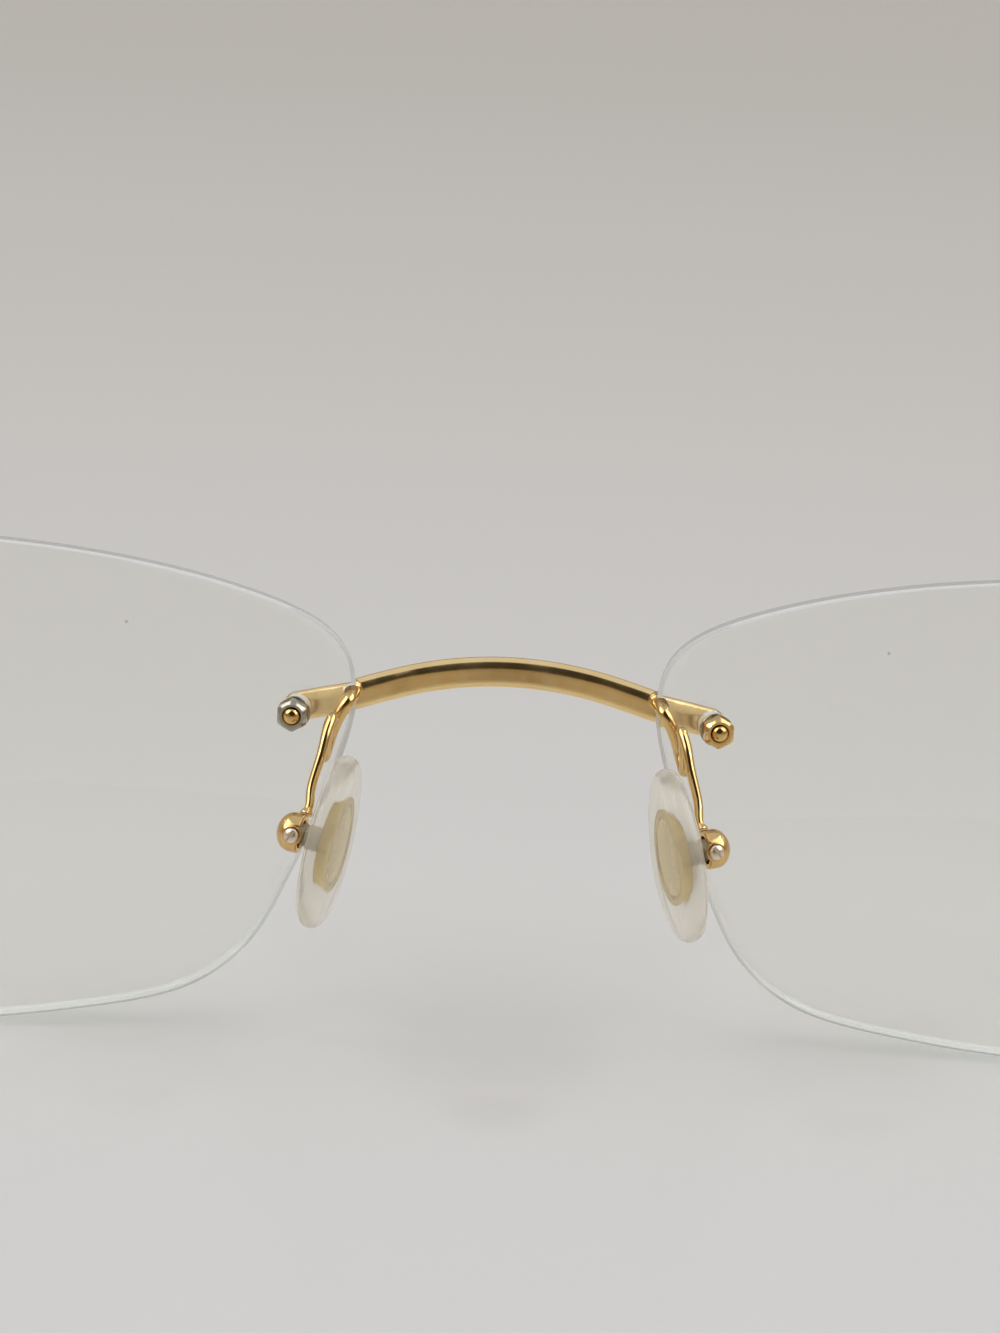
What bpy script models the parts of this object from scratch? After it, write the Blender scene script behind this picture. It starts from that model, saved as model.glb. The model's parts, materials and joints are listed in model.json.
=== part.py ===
"""Rimless glasses with a polished bar bridge, gooseneck pad arms and folding temples.

The front is drawn in its own frame: x to the wearer's left, y towards the wearer and z up from the
lenses' centre line. The temples run level, at the pantoscopic tilt to it. At the end the glasses are
set down on a table, on the lower lens edges and the temple tips.
"""
import math

import bmesh
import bpy
from mathutils import Matrix, Vector

# Lenses; all lengths are in metres and all angles in degrees
LENS_WIDTH = 0.054
LENS_HEIGHT = 0.0309
LENS_THICKNESS = 0.0022
LENS_CURVE_RADIUS = 0.13
LENS_CHAMFER = 0.00015
LENS_WRAP = 5.0
NOSE_GAP = 0.019
PANTOSCOPIC_TILT = 7.0

# Fits
SEAT_GAP = 0.00008
SOLDER_GAP = 0.00005
RUNNING_FIT = 0.00005

# Bridge bar: a flat inner face and a domed front
BAR_HEIGHT = 0.0019
BAR_DEPTH = 0.0012
BAR_FLAT = 0.0015
BRIDGE_RISE = 0.00155
BRIDGE_BOW = 0.0016
BRIDGE_EDGE_HEIGHT = 0.006
LUG_RADIUS = 0.00048
LUG_CLEARANCE = 0.0001
LUG_INSET = 0.00035
LUG_LIFT = 0.00045
LUG_REACH = 0.0009

# Lens mounts: a screw through a bush, with a washer and a nut on the wearer's side
NASAL_HOLE_INSET = 0.0036
NASAL_HOLE_HEIGHT = 0.00515
TEMPORAL_HOLE_INSET = 0.0038
TEMPORAL_HOLE_HEIGHT = 0.0056
MOUNT_SCREW_RADIUS = 0.0005
MOUNT_HEAD_RADIUS = 0.00075
MOUNT_HEAD_HEIGHT = 0.00055
MOUNT_SEAT_DEPTH = 0.00035
BUSH_WALL = 0.0003
WASHER_RADIUS = 0.00105
WASHER_THICKNESS = 0.00025
NUT_ACROSS_FLATS = 0.0018
NUT_HEIGHT = 0.00115
SCREW_STANDOUT = 0.0003

# Nose pads, placed from the lens's nasal edge
PAD_PIVOT_OUT = 0.0031
PAD_PIVOT_BACK = 0.0074
PAD_PIVOT_HEIGHT = -0.0013
PAD_FRONTAL_ANGLE = 10.5
PAD_SPLAY_ANGLE = 15.0
PAD_LENGTH = 0.0108
PAD_WIDTH = 0.0068
PAD_TAPER = 0.1
PAD_THICKNESS = 0.0016
PAD_STANDOFF = 0.00135
CORE_LENGTH = 0.0062
CORE_WIDTH = 0.0047
CORE_THICKNESS = 0.00045
CORE_DEPTH = 0.0005
STEM_RADIUS = 0.0007
STEM_TAIL = 0.00035
CUP_RADIUS = 0.00122
CUP_WALL = 0.00036
CUP_MOUTH = 0.00035
CUP_DOME = 0.00125
CUP_FLOOR = 0.0007
PAD_SCREW_RADIUS = 0.00026
PAD_SCREW_HEAD_RADIUS = 0.0006
PAD_SCREW_HEAD_HEIGHT = 0.0003

# Pad arms: a wire that drops behind the lens, loops up again and comes down to the cup
ARM_START_RADIUS = 0.00046
ARM_END_RADIUS = 0.00026
ARM_LENS_CLEARANCE = 0.0004
ARM_STRAND_PITCH = 0.00135
ARM_LOOP_DROP = 0.00375
ARM_LOOP_RISE = 0.0027
ARM_BEND = 0.0008
ARM_BOW = 0.0005
ARM_LANDING = 0.00015

# Endpieces and hinges
ENDPIECE_REACH = 0.0027
ENDPIECE_CORNER_RADIUS = 0.0022
HINGE_SETBACK = 0.0094
HINGE_HEIGHT = 0.0036
HINGE_CLEARANCE = 0.00012
KNUCKLE_RADIUS = 0.00105
HINGE_SCREW_RADIUS = 0.0005
HINGE_HEAD_RADIUS = 0.0008
HINGE_HEAD_HEIGHT = 0.0004
LEAF_LENGTH = 0.0032
LEAF_THICKNESS = 0.00045
BUTT_GAP = 0.00006

# Temples, measured along the bar from the hinge
TEMPLE_LENGTH = 0.14
TEMPLE_BEND_START = 0.092
TEMPLE_BEND_RADIUS = 0.02
TEMPLE_BEND_ANGLE = 44.0
TEMPLE_ROOT_LENGTH = 0.01
TEMPLE_HEIGHT = 0.002
TEMPLE_DEPTH = 0.001
TEMPLE_INWARD_CURVE = 0.003
CORE_WIRE_RADIUS = 0.0006
CORE_WIRE_TAPER = 0.005
TIP_START = 0.074
TIP_MOUTH_RADIUS = 0.00115
TIP_GROWTH = 0.026
TIP_HEIGHT = 0.0046
TIP_DEPTH = 0.0026
TIP_BLIND_END = 0.006

SIDES = {"left": 1, "right": -1}

# Looks: name, colour, metallic, roughness
GOLD = ("polished_gold_plate", (0.83, 0.66, 0.36), 1.0, 0.12)
STEEL = ("steel_washer", (0.74, 0.72, 0.68), 1.0, 0.22)
LENS_CLEAR = ("clear_lens", (0.93, 0.95, 0.94), 0.0, 0.02)
PAD_CLEAR = ("clear_pad", (0.88, 0.87, 0.83), 0.0, 0.25)
PLASTIC_CLEAR = ("clear_plastic", (0.82, 0.8, 0.74), 0.0, 0.15)
TIP_BROWN = ("brown_tip_plastic", (0.23, 0.13, 0.07), 0.0, 0.2)

# The lens outline in shares of the half width and half height, from the top by way of the nose
LENS_OUTLINE = [
    (0.0, 1.0), (-0.38, 0.95), (-0.685, 0.85), (-0.89, 0.725), (-0.97, 0.61),
    (-1.0, 0.415), (-0.974, 0.16), (-0.874, -0.305), (-0.763, -0.655), (-0.622, -0.835),
    (-0.352, -0.945), (0.0, -1.0), (0.39, -0.97), (0.69, -0.83), (0.89, -0.53),
    (0.985, -0.1), (0.985, 0.32), (0.87, 0.69), (0.63, 0.89), (0.33, 0.98),
]
LENS_OUTLINE_STEPS = 54

# Rings of the pad, as (share of its outline, share of its thickness from the back)
PAD_RINGS = [(0.78, 0.0), (0.93, 0.08), (1.0, 0.32), (1.0, 0.6), (0.94, 0.86), (0.8, 1.0)]


def clear_scene():
    """Remove every object from the scene."""
    for old in list(bpy.data.objects):
        bpy.data.objects.remove(old, do_unlink=True)


def finish(look):
    """Return the material of a look, made once."""
    name, colour, metallic, roughness = look
    material = bpy.data.materials.get(name)
    if material:
        return material
    material = bpy.data.materials.new(name)
    material.use_nodes = True
    shader = material.node_tree.nodes["Principled BSDF"]
    shader.inputs["Base Color"].default_value = (*colour, 1.0)
    shader.inputs["Metallic"].default_value = metallic
    shader.inputs["Roughness"].default_value = roughness
    return material


def holder(name, parent=None, frame=None):
    """Add an empty that carries other objects."""
    empty = bpy.data.objects.new(name, None)
    bpy.context.collection.objects.link(empty)
    empty.parent = parent
    empty.matrix_local = frame if frame else Matrix.Identity(4)
    return empty


def mesh_object(name, shape, parent):
    """Add an object from a bmesh."""
    bmesh.ops.recalc_face_normals(shape, faces=shape.faces)
    mesh = bpy.data.meshes.new(name)
    shape.to_mesh(mesh)
    shape.free()
    piece = bpy.data.objects.new(name, mesh)
    bpy.context.collection.objects.link(piece)
    piece.parent = parent
    return piece


def add_piece(name, shape, parent, look):
    """Add one finished piece."""
    piece = mesh_object(name, shape, parent)
    piece.data.shade_smooth()
    piece.data.set_sharp_from_angle(angle=math.radians(35))
    piece.data.materials.append(finish(look))
    return piece


def add_cutter(name, shape, parent):
    """Add a shape that only cuts or joins other pieces."""
    cutter = mesh_object(name, shape, parent)
    cutter.hide_render = True
    cutter.display_type = "WIRE"
    return cutter


def combine(piece, cutter, operation="DIFFERENCE"):
    """Cut a piece with a cutter, or join the cutter to it."""
    boolean = piece.modifiers.new(cutter.name, "BOOLEAN")
    boolean.operation = operation
    boolean.object = cutter


def moved(shape, frame):
    """Return the shape after a transform."""
    shape.transform(frame)
    return shape


def mirror(side):
    """Return the matrix that puts a left-hand shape on the given side."""
    return Matrix.Diagonal((side, 1, 1, 1))


def frame_of(origin, x_axis, y_axis, z_axis):
    """Return the matrix of a frame from its origin and axes."""
    frame = Matrix((x_axis, y_axis, z_axis)).transposed().to_4x4()
    frame.translation = origin
    return frame


def loft(rings, closed=False):
    """Skin a list of rings of points; an open loft gets flat ends."""
    shape = bmesh.new()
    rows = [[shape.verts.new(point) for point in ring] for ring in rings]
    pairs = list(zip(rows, rows[1:]))
    if closed:
        pairs.append((rows[-1], rows[0]))
    for low, high in pairs:
        for i in range(len(low)):
            j = (i + 1) % len(low)
            shape.faces.new((low[i], low[j], high[j], high[i]))
    if not closed:
        shape.faces.new(rows[0][::-1])
        shape.faces.new(rows[-1])
    return shape


def circle(radius, height, sides):
    """Return a ring of points round z."""
    angles = [2 * math.pi * i / sides for i in range(sides)]
    return [Vector((radius * math.cos(a), radius * math.sin(a), height)) for a in angles]


def turned(profile, sides, hollow=False):
    """Turn (radius, height) pairs about z; a hollow one is a closed outline round a bore."""
    return loft([circle(radius, height, sides) for radius, height in profile], closed=hollow)


def dome(radius, height, rise, steps=2):
    """Return (radius, height) pairs that round off a rod's end by the given rise."""
    angles = [0.5 * math.pi * i / (steps + 0.5) for i in range(1, steps + 1)]
    return [(radius * math.cos(a), height + rise * math.sin(a)) for a in angles]


def curve_through(points, closed=False, steps=24):
    """Return a fine centripetal Catmull-Rom line through the points."""
    points = [Vector(p) for p in points]
    if closed:
        knots = [points[-1], *points, points[0], points[1]]
    else:
        knots = [2 * points[0] - points[1], *points, 2 * points[-1] - points[-2]]
    line = []
    for p0, p1, p2, p3 in zip(knots, knots[1:], knots[2:], knots[3:]):
        t1 = (p1 - p0).length ** 0.5
        t2 = t1 + (p2 - p1).length ** 0.5
        t3 = t2 + (p3 - p2).length ** 0.5
        for i in range(steps):
            t = t1 + (t2 - t1) * i / steps
            a1 = p0.lerp(p1, t / t1)
            a2 = p1.lerp(p2, (t - t1) / (t2 - t1))
            a3 = p2.lerp(p3, (t - t2) / (t3 - t2))
            line.append(a1.lerp(a2, t / t2).lerp(a2.lerp(a3, (t - t1) / (t3 - t1)), (t - t1) / (t2 - t1)))
    line.append(points[0] if closed else points[-1])
    return line


def even_points(line, steps):
    """Divide a line into equal steps and return the steps + 1 points."""
    lengths = [0.0]
    for a, b in zip(line, line[1:]):
        lengths.append(lengths[-1] + (b - a).length)
    points = []
    k = 0
    for i in range(steps + 1):
        target = lengths[-1] * i / steps
        while k < len(line) - 2 and lengths[k + 1] < target:
            k += 1
        share = (target - lengths[k]) / (lengths[k + 1] - lengths[k])
        points.append(line[k].lerp(line[k + 1], min(share, 1.0)))
    return points


def rings_along(path, section_at):
    """Place sections along a path; section_at(i) gives pairs (towards the wearer or nose, up)."""
    rings = []
    for i, point in enumerate(path):
        along = (path[min(i + 1, len(path) - 1)] - path[max(i - 1, 0)]).normalized()
        inward = Vector((0, 0, 1)).cross(along).normalized()
        upward = along.cross(inward)
        rings.append([point + inward * a + upward * b for a, b in section_at(i)])
    return rings


def wire(path, radius_at, sides):
    """Return a round wire along a path, its rings turned as little as possible."""
    rings = []
    normal = Vector((1, 0, 0))
    for i, point in enumerate(path):
        along = (path[min(i + 1, len(path) - 1)] - path[max(i - 1, 0)]).normalized()
        normal = (normal - along * normal.dot(along)).normalized()
        side = along.cross(normal)
        ring = circle(radius_at(i), 0.0, sides)
        rings.append([point + normal * p.x + side * p.y for p in ring])
    return loft(rings)


def bar_section(height, depth, flat):
    """Return the bar's section: a flat inner face and a domed front."""
    half = 0.5 * height
    corner = 0.42 * depth
    widest = 0.15 * depth
    front = widest + 0.5 * depth
    points = [(0.5 * depth, -0.5 * flat), (0.5 * depth, 0.5 * flat), (corner, 0.5 * (half + 0.5 * flat))]
    for i in range(7):
        angle = math.pi * i / 6
        points.append((widest - front * math.sin(angle), half * math.cos(angle)))
    points.append((corner, -0.5 * (half + 0.5 * flat)))
    return points


def blend(first, second, share):
    """Blend two sections point by point."""
    return [(a + (c - a) * share, b + (d - b) * share) for (a, b), (c, d) in zip(first, second)]


def round_section(like, radius):
    """Return a round section whose points lie in the same directions as another section's."""
    return [(radius * a / math.hypot(a, b), radius * b / math.hypot(a, b)) for a, b in like]


def smoothstep(value):
    """Ease a value between 0 and 1."""
    value = min(max(value, 0.0), 1.0)
    return value * value * (3 - 2 * value)


def lens_sag(u, v):
    """Return how far the lens surface lies behind its foremost point."""
    return LENS_CURVE_RADIUS - math.sqrt(LENS_CURVE_RADIUS ** 2 - u * u - v * v)


def lens_point(u, v, depth=0.0):
    """Place a point of the left lens: u outwards, v up, depth behind the middle of its thickness."""
    nasal = -0.5 * LENS_WIDTH
    flat = Vector((u - nasal, lens_sag(u, v) - lens_sag(nasal, 0.0) + depth, v))
    return Matrix.Rotation(math.radians(LENS_WRAP), 3, "Z") @ flat + Vector((0.5 * NOSE_GAP, 0, 0))


def lens_frame(u, v):
    """Return the frame on the lens at (u, v), square to its surface, whose z runs to the wearer."""
    normal = Vector((-u, LENS_CURVE_RADIUS - lens_sag(u, v), -v)).normalized()
    z_axis = Matrix.Rotation(math.radians(LENS_WRAP), 3, "Z") @ normal
    x_axis = Vector((0, 0, 1)).cross(z_axis).normalized()
    return frame_of(lens_point(u, v), x_axis, z_axis.cross(x_axis), z_axis)


def over_lens(u, v):
    """Return the centre line of a bar that lies on the front of the lens at (u, v)."""
    return lens_frame(u, v) @ Vector((0, 0, -0.5 * (LENS_THICKNESS + BAR_DEPTH) - SEAT_GAP))


def nasal_height(u):
    """Return the height of the bridge bar over the lens at u, from the lens edge to the screw."""
    share = (u + 0.5 * LENS_WIDTH) / NASAL_HOLE_INSET
    return BRIDGE_EDGE_HEIGHT + (NASAL_HOLE_HEIGHT - BRIDGE_EDGE_HEIGHT) * share


def bridge_arch(x):
    """Return the bridge bar's centre line at x, between the lenses."""
    edge = over_lens(-0.5 * LENS_WIDTH, BRIDGE_EDGE_HEIGHT)
    crest = Vector((0, edge.y - BRIDGE_BOW, edge.z + BRIDGE_RISE))
    share = (x / edge.x) ** 2
    return Vector((x, crest.y + (edge.y - crest.y) * share, crest.z + (edge.z - crest.z) * share))


def rounded_bar_end(hole_u, step, height_at):
    """Return (point, share of height) pairs that round the bar's end beyond a screw hole."""
    radius = 0.5 * BAR_HEIGHT
    stations = []
    for angle in (30, 55, 72, 84):
        turn = math.radians(angle)
        u = hole_u + step * radius * math.sin(turn)
        stations.append((over_lens(u, height_at(u)), math.cos(turn)))
    return stations


def bar(stations):
    """Return a bar from (point, share of height) pairs."""
    path = [point for point, _ in stations]
    shares = [share for _, share in stations]
    rings = rings_along(path, lambda i: bar_section(BAR_HEIGHT * shares[i], BAR_DEPTH, BAR_FLAT * shares[i]))
    return loft(rings)


def lug_position():
    """Return the middle of the lug on the bar's inner face, in a notch of the nasal lens edge."""
    u = LUG_INSET - 0.5 * LENS_WIDTH
    return over_lens(u, nasal_height(u)) + Vector((0, 0.5 * BAR_DEPTH, LUG_LIFT))


def notch_cutter():
    """Return the notch in the nasal lens edge that the lug and the pad arm pass through."""
    radius = max(LUG_RADIUS, ARM_START_RADIUS) + LUG_CLEARANCE
    cutter = turned([(radius, -LENS_THICKNESS), (radius, 2 * LENS_THICKNESS)], 20)
    return moved(cutter, Matrix.Translation(lug_position()) @ along_y())


def mount_cutter():
    """Return the stepped hole of a lens mount, in the lens frame's z."""
    face = -0.5 * LENS_THICKNESS - SEAT_GAP
    seat = face - BAR_DEPTH + MOUNT_SEAT_DEPTH
    head = MOUNT_HEAD_RADIUS + RUNNING_FIT
    shank = MOUNT_SCREW_RADIUS + RUNNING_FIT
    bush = shank + BUSH_WALL + RUNNING_FIT
    step = face + 0.5 * SEAT_GAP
    profile = [(head, seat - BAR_DEPTH), (head, seat), (shank, seat), (shank, step), (bush, step)]
    return turned([*profile, (bush, LENS_THICKNESS)], 24)


def mount_screw():
    """Return a lens mount's screw: a domed head in front and a domed end behind the nut."""
    seat = -0.5 * LENS_THICKNESS - SEAT_GAP - BAR_DEPTH + MOUNT_SEAT_DEPTH - SOLDER_GAP
    end = mount_stack()[-1] + SCREW_STANDOUT
    rim = seat - 0.4 * MOUNT_HEAD_HEIGHT
    crown = [(radius, -height) for radius, height in dome(MOUNT_HEAD_RADIUS, -rim, 0.6 * MOUNT_HEAD_HEIGHT)]
    tip_rise = 0.6 * MOUNT_SCREW_RADIUS
    shank = [(MOUNT_SCREW_RADIUS, seat), (MOUNT_SCREW_RADIUS, end - tip_rise)]
    tip = dome(MOUNT_SCREW_RADIUS, end - tip_rise, tip_rise)
    return turned([*crown[::-1], (MOUNT_HEAD_RADIUS, rim), (MOUNT_HEAD_RADIUS, seat), *shank, *tip], 18)


def mount_stack():
    """Return where the washer starts and ends and where the nut starts and ends, behind the lens."""
    washer = 0.5 * LENS_THICKNESS + SEAT_GAP
    nut = washer + WASHER_THICKNESS + SOLDER_GAP
    return washer, washer + WASHER_THICKNESS, nut, nut + NUT_HEIGHT


def mount_bush():
    """Return the sleeve between a mount's screw and the lens."""
    bore = MOUNT_SCREW_RADIUS + RUNNING_FIT
    half = 0.5 * LENS_THICKNESS - RUNNING_FIT
    return turned([(bore, -half), (bore + BUSH_WALL, -half), (bore + BUSH_WALL, half), (bore, half)], 20, True)


def mount_washer():
    """Return the washer between the lens and the nut."""
    bore = MOUNT_SCREW_RADIUS + RUNNING_FIT
    start, end, _, _ = mount_stack()
    return turned([(bore, start), (WASHER_RADIUS, start), (WASHER_RADIUS, end), (bore, end)], 20, True)


def mount_nut():
    """Return a hexagon nut with a chamfered outer end."""
    _, _, start, end = mount_stack()
    bore = MOUNT_SCREW_RADIUS + RUNNING_FIT
    flat = 0.5 * NUT_ACROSS_FLATS
    corner = flat / math.cos(math.pi / 6)
    chamfer = corner - flat

    def hexagon(height, limit):
        """Return a hexagon's corners and the middles of its flats, no further out than the limit."""
        ring = circle(1.0, height, 12)
        for i, point in enumerate(ring):
            radius = min(corner if i % 2 else flat, limit)
            point.xy = point.xy * radius
        return ring

    rings = [circle(bore, start, 12), hexagon(start, corner), hexagon(end - chamfer, corner)]
    return loft([*rings, hexagon(end, flat), circle(bore, end, 12)], closed=True)


def lens_outline(scale):
    """Return the lens outline's points at a share of its size."""
    corners = [(0.5 * LENS_WIDTH * u, 0.5 * LENS_HEIGHT * v, 0.0) for u, v in LENS_OUTLINE]
    line = curve_through(corners, closed=True)
    return [(p.x * scale, p.y * scale) for p in even_points(line, LENS_OUTLINE_STEPS)[:-1]]


def lens_shape():
    """Return the left lens: two spherical faces and a chamfered edge."""
    half = 0.5 * LENS_THICKNESS
    inner = 1 - 2 * LENS_CHAMFER / LENS_HEIGHT
    front = [(0.05, -half), (0.35, -half), (0.7, -half), (inner, -half), (1.0, LENS_CHAMFER - half)]
    rows = front + [(scale, -depth) for scale, depth in front[::-1]]
    return loft([[lens_point(u, v, depth) for u, v in lens_outline(scale)] for scale, depth in rows])


def oval(length, width, taper, sides=28):
    """Return the points (across, along) of an oval that narrows towards its top."""
    angles = [2 * math.pi * i / sides for i in range(sides)]
    return [(0.5 * width * math.cos(a) * (1 - taper * math.sin(a)), 0.5 * length * math.sin(a)) for a in angles]


def pad_axes():
    """Return the left pad's axes: outwards from the nose, towards the wearer, and up along the pad."""
    frontal = math.radians(PAD_FRONTAL_ANGLE)
    splay = math.radians(PAD_SPLAY_ANGLE)
    outward = Vector((math.cos(frontal), 0, math.sin(frontal)))
    upward = Vector((-math.sin(frontal), 0, math.cos(frontal)))
    back = Vector((0, 1, 0))
    across = back * math.cos(splay) + outward * math.sin(splay)
    return outward * math.cos(splay) - back * math.sin(splay), across, upward


def pad_pivot():
    """Return the middle of the left pad screw."""
    return Vector((0.5 * NOSE_GAP + PAD_PIVOT_OUT, PAD_PIVOT_BACK, PAD_PIVOT_HEIGHT))


def pad_frame(origin=(0, 0, 0)):
    """Return the left pad's frame about the given origin."""
    return frame_of(Vector(origin), *pad_axes())


def pad_shape():
    """Return the soft pad in the pad's frame, x outwards from the nose."""
    outline = oval(PAD_LENGTH, PAD_WIDTH, PAD_TAPER)
    rings = []
    for scale, share in PAD_RINGS:
        x = -PAD_STANDOFF - PAD_THICKNESS * share
        rings.append([Vector((x, y * scale, z * scale)) for y, z in outline])
    return loft(rings)


def plate_shape(clearance, start, end):
    """Return an oval plate like the pad's core, larger all round by a clearance."""
    outline = oval(CORE_LENGTH + 2 * clearance, CORE_WIDTH + 2 * clearance, PAD_TAPER)
    return loft([[Vector((x, y, z)) for y, z in outline] for x in (start, end)])


def along_x():
    """Return the turn that lays a shape turned about z along x."""
    return Matrix.Rotation(math.radians(90), 4, "Y")


def along_y():
    """Return the turn that lays a shape turned about z along y."""
    return Matrix.Rotation(math.radians(-90), 4, "X")


def cup_shape():
    """Return the pad box: a domed cup that opens towards the nose."""
    inner = CUP_RADIUS - CUP_WALL
    side = CUP_DOME - 0.8 * CUP_RADIUS
    inside = [(0.3 * inner, CUP_FLOOR), (inner, CUP_FLOOR - 0.3 * inner), (inner, -CUP_MOUTH)]
    profile = [*inside, (CUP_RADIUS, -CUP_MOUTH), (CUP_RADIUS, side), *dome(CUP_RADIUS, side, CUP_DOME - side, 4)]
    return moved(turned(profile, 24), along_x())


def stem_shape():
    """Return the plug between the pad's core and its cup."""
    start = -PAD_STANDOFF - CORE_DEPTH + SOLDER_GAP
    return moved(turned([(STEM_RADIUS, start), (STEM_RADIUS, STEM_TAIL)], 20), along_x())


def pad_screw_shape():
    """Return the screw across the cup, its head towards the wearer."""
    seat = CUP_RADIUS + 0.5 * SEAT_GAP
    rim = seat + 0.4 * PAD_SCREW_HEAD_HEIGHT
    head = [(PAD_SCREW_HEAD_RADIUS, seat), (PAD_SCREW_HEAD_RADIUS, rim)]
    crown = dome(PAD_SCREW_HEAD_RADIUS, rim, 0.6 * PAD_SCREW_HEAD_HEIGHT)
    return moved(turned([(PAD_SCREW_RADIUS, -CUP_RADIUS), (PAD_SCREW_RADIUS, seat), *head, *crown], 16), along_y())


def arm_path():
    """Return the left pad arm's centre line, from the lug round the lens edge and down to the cup."""
    start = lug_position() + Vector((0, LUG_REACH + SOLDER_GAP, 0))
    out, across, up = pad_axes()
    landing = (up * 0.9 - across * 0.44).normalized()
    end = pad_pivot() - out * ARM_LANDING + landing * (CUP_RADIUS + SOLDER_GAP)
    strand = 0.5 * LENS_THICKNESS + ARM_LENS_CLEARANCE + ARM_START_RADIUS
    low = start.z - ARM_LOOP_DROP
    high = low + ARM_LOOP_RISE
    fall = (end.x - start.x) / (start.z - end.z)

    def at(z, bows, strands):
        """Place a point by its height, in bows out from the lug's fall to the cup and strands back."""
        x = start.x + fall * (start.z - z) + bows * ARM_BOW
        return Vector((x, strand + strands * ARM_STRAND_PITCH, z))

    points = [
        start,
        Vector((start.x, 0.4 * LENS_THICKNESS, start.z)),
        at(start.z - 0.4 * ARM_BEND, 0.2, -0.1),
        at(start.z - 1.25 * ARM_BEND, 0.6, 0.0),
        at(start.z - 2.5 * ARM_BEND, 0.75, 0.0),
        at(low + ARM_BEND, 0.6, 0.05),
        at(low, 0.45, 0.6),
        at(low + ARM_BEND, 0.9, 1.08),
        at(high - ARM_BEND, 1.45, 1.15),
        at(high, 1.55, 1.7),
        at(high - ARM_BEND, 1.5, 2.2),
        at(low + 0.75 * ARM_BEND, 1.1, 2.6),
        end + landing * 2.1 * ARM_BEND + out * 0.5 * ARM_BOW,
        end + landing * 0.75 * ARM_BEND,
        end,
    ]
    return even_points(curve_through(points), 40)


def endpiece_corner():
    """Return the endpiece's centre line from the outer lens edge round to its straight run."""
    edge = over_lens(0.5 * LENS_WIDTH, TEMPORAL_HOLE_HEIGHT)
    radius = ENDPIECE_CORNER_RADIUS
    centre = Vector((edge.x + ENDPIECE_REACH - radius, edge.y + 0.25 * BAR_DEPTH + radius, edge.z))
    corner = []
    for angle in (0, 22.5, 45, 67.5, 90):
        turn = math.radians(angle)
        corner.append(centre + Vector((radius * math.sin(turn), -radius * math.cos(turn), 0)))
    return edge, corner


def bar_offset():
    """Return how far the bar's centre line lies outside the hinge axis."""
    return KNUCKLE_RADIUS + HINGE_CLEARANCE + 0.5 * BAR_DEPTH


def hinge_frame():
    """Return the left hinge's frame in the front: z is its axis and y runs back along the temple."""
    edge, corner = endpiece_corner()
    tilt = math.radians(PANTOSCOPIC_TILT)
    y = edge.y + HINGE_SETBACK
    z = corner[-1].z - math.tan(tilt) * (y - corner[-1].y)
    frame = Matrix.Rotation(-tilt, 4, "X")
    frame.translation = Vector((corner[-1].x - bar_offset(), y, z))
    return frame


def endpiece_shape():
    """Return the left endpiece: from its screw over the lens edge and back to the hinge."""
    hole = 0.5 * LENS_WIDTH - TEMPORAL_HOLE_INSET
    _, corner = endpiece_corner()
    stations = rounded_bar_end(hole, -1, lambda u: TEMPORAL_HOLE_HEIGHT)[::-1]
    for share in (0.0, 0.5, 1.0):
        u = hole + TEMPORAL_HOLE_INSET * share
        stations.append((over_lens(u, TEMPORAL_HOLE_HEIGHT), 1.0))
    stations.extend((point, 1.0) for point in corner)
    end = hinge_frame() @ Vector((bar_offset(), -0.5 * BUTT_GAP, 0))
    for share in (0.3, 0.5, 0.7, 0.85, 1.0):
        growth = 1 + (HINGE_HEIGHT / BAR_HEIGHT - 1) * smoothstep(share / 0.85)
        stations.append((corner[-1].lerp(end, share), growth))
    return bar(stations)


def knuckle_outline(towards):
    """Return a knuckle's outline with its leaf towards +y or -y, counterclockwise for +y."""
    leaf = KNUCKLE_RADIUS + HINGE_CLEARANCE - SOLDER_GAP
    notch = 0.5 * BUTT_GAP + SOLDER_GAP
    last = 360 + math.degrees(math.asin(notch / KNUCKLE_RADIUS))
    points = []
    for i in range(17):
        turn = math.radians(90 + (last - 90) * i / 16)
        points.append((KNUCKLE_RADIUS * math.cos(turn), KNUCKLE_RADIUS * math.sin(turn)))
    points += [(leaf, notch), (leaf, LEAF_LENGTH), (leaf - LEAF_THICKNESS, LEAF_LENGTH)]
    return [(x, y * towards) for x, y in points]


def knuckle_block(towards, height):
    """Return a knuckle with its leaf, bored for the hinge screw."""
    outline = knuckle_outline(towards)
    bore = HINGE_SCREW_RADIUS + RUNNING_FIT
    start = math.radians(90)
    rings = []
    for z in (-0.5 * height, 0.5 * height):
        rings.append([Vector((x, y, z)) for x, y in outline])
    for z in (0.5 * height, -0.5 * height):
        ring = []
        for i in range(len(outline)):
            turn = start + 2 * math.pi * i / len(outline)
            ring.append(Vector((bore * math.cos(turn), towards * bore * math.sin(turn), z)))
        rings.append(ring)
    return loft(rings, closed=True)


def knuckle_slot():
    """Return the slot between the front knuckles that takes the temple's knuckle."""
    reach = 2 * KNUCKLE_RADIUS
    back = -KNUCKLE_RADIUS - RUNNING_FIT
    half = HINGE_HEIGHT / 6
    corners = [(-reach, back), (reach, back), (reach, reach), (-reach, reach)]
    return loft([[Vector((x, y, z)) for x, y in corners] for z in (-half, half)])


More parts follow.
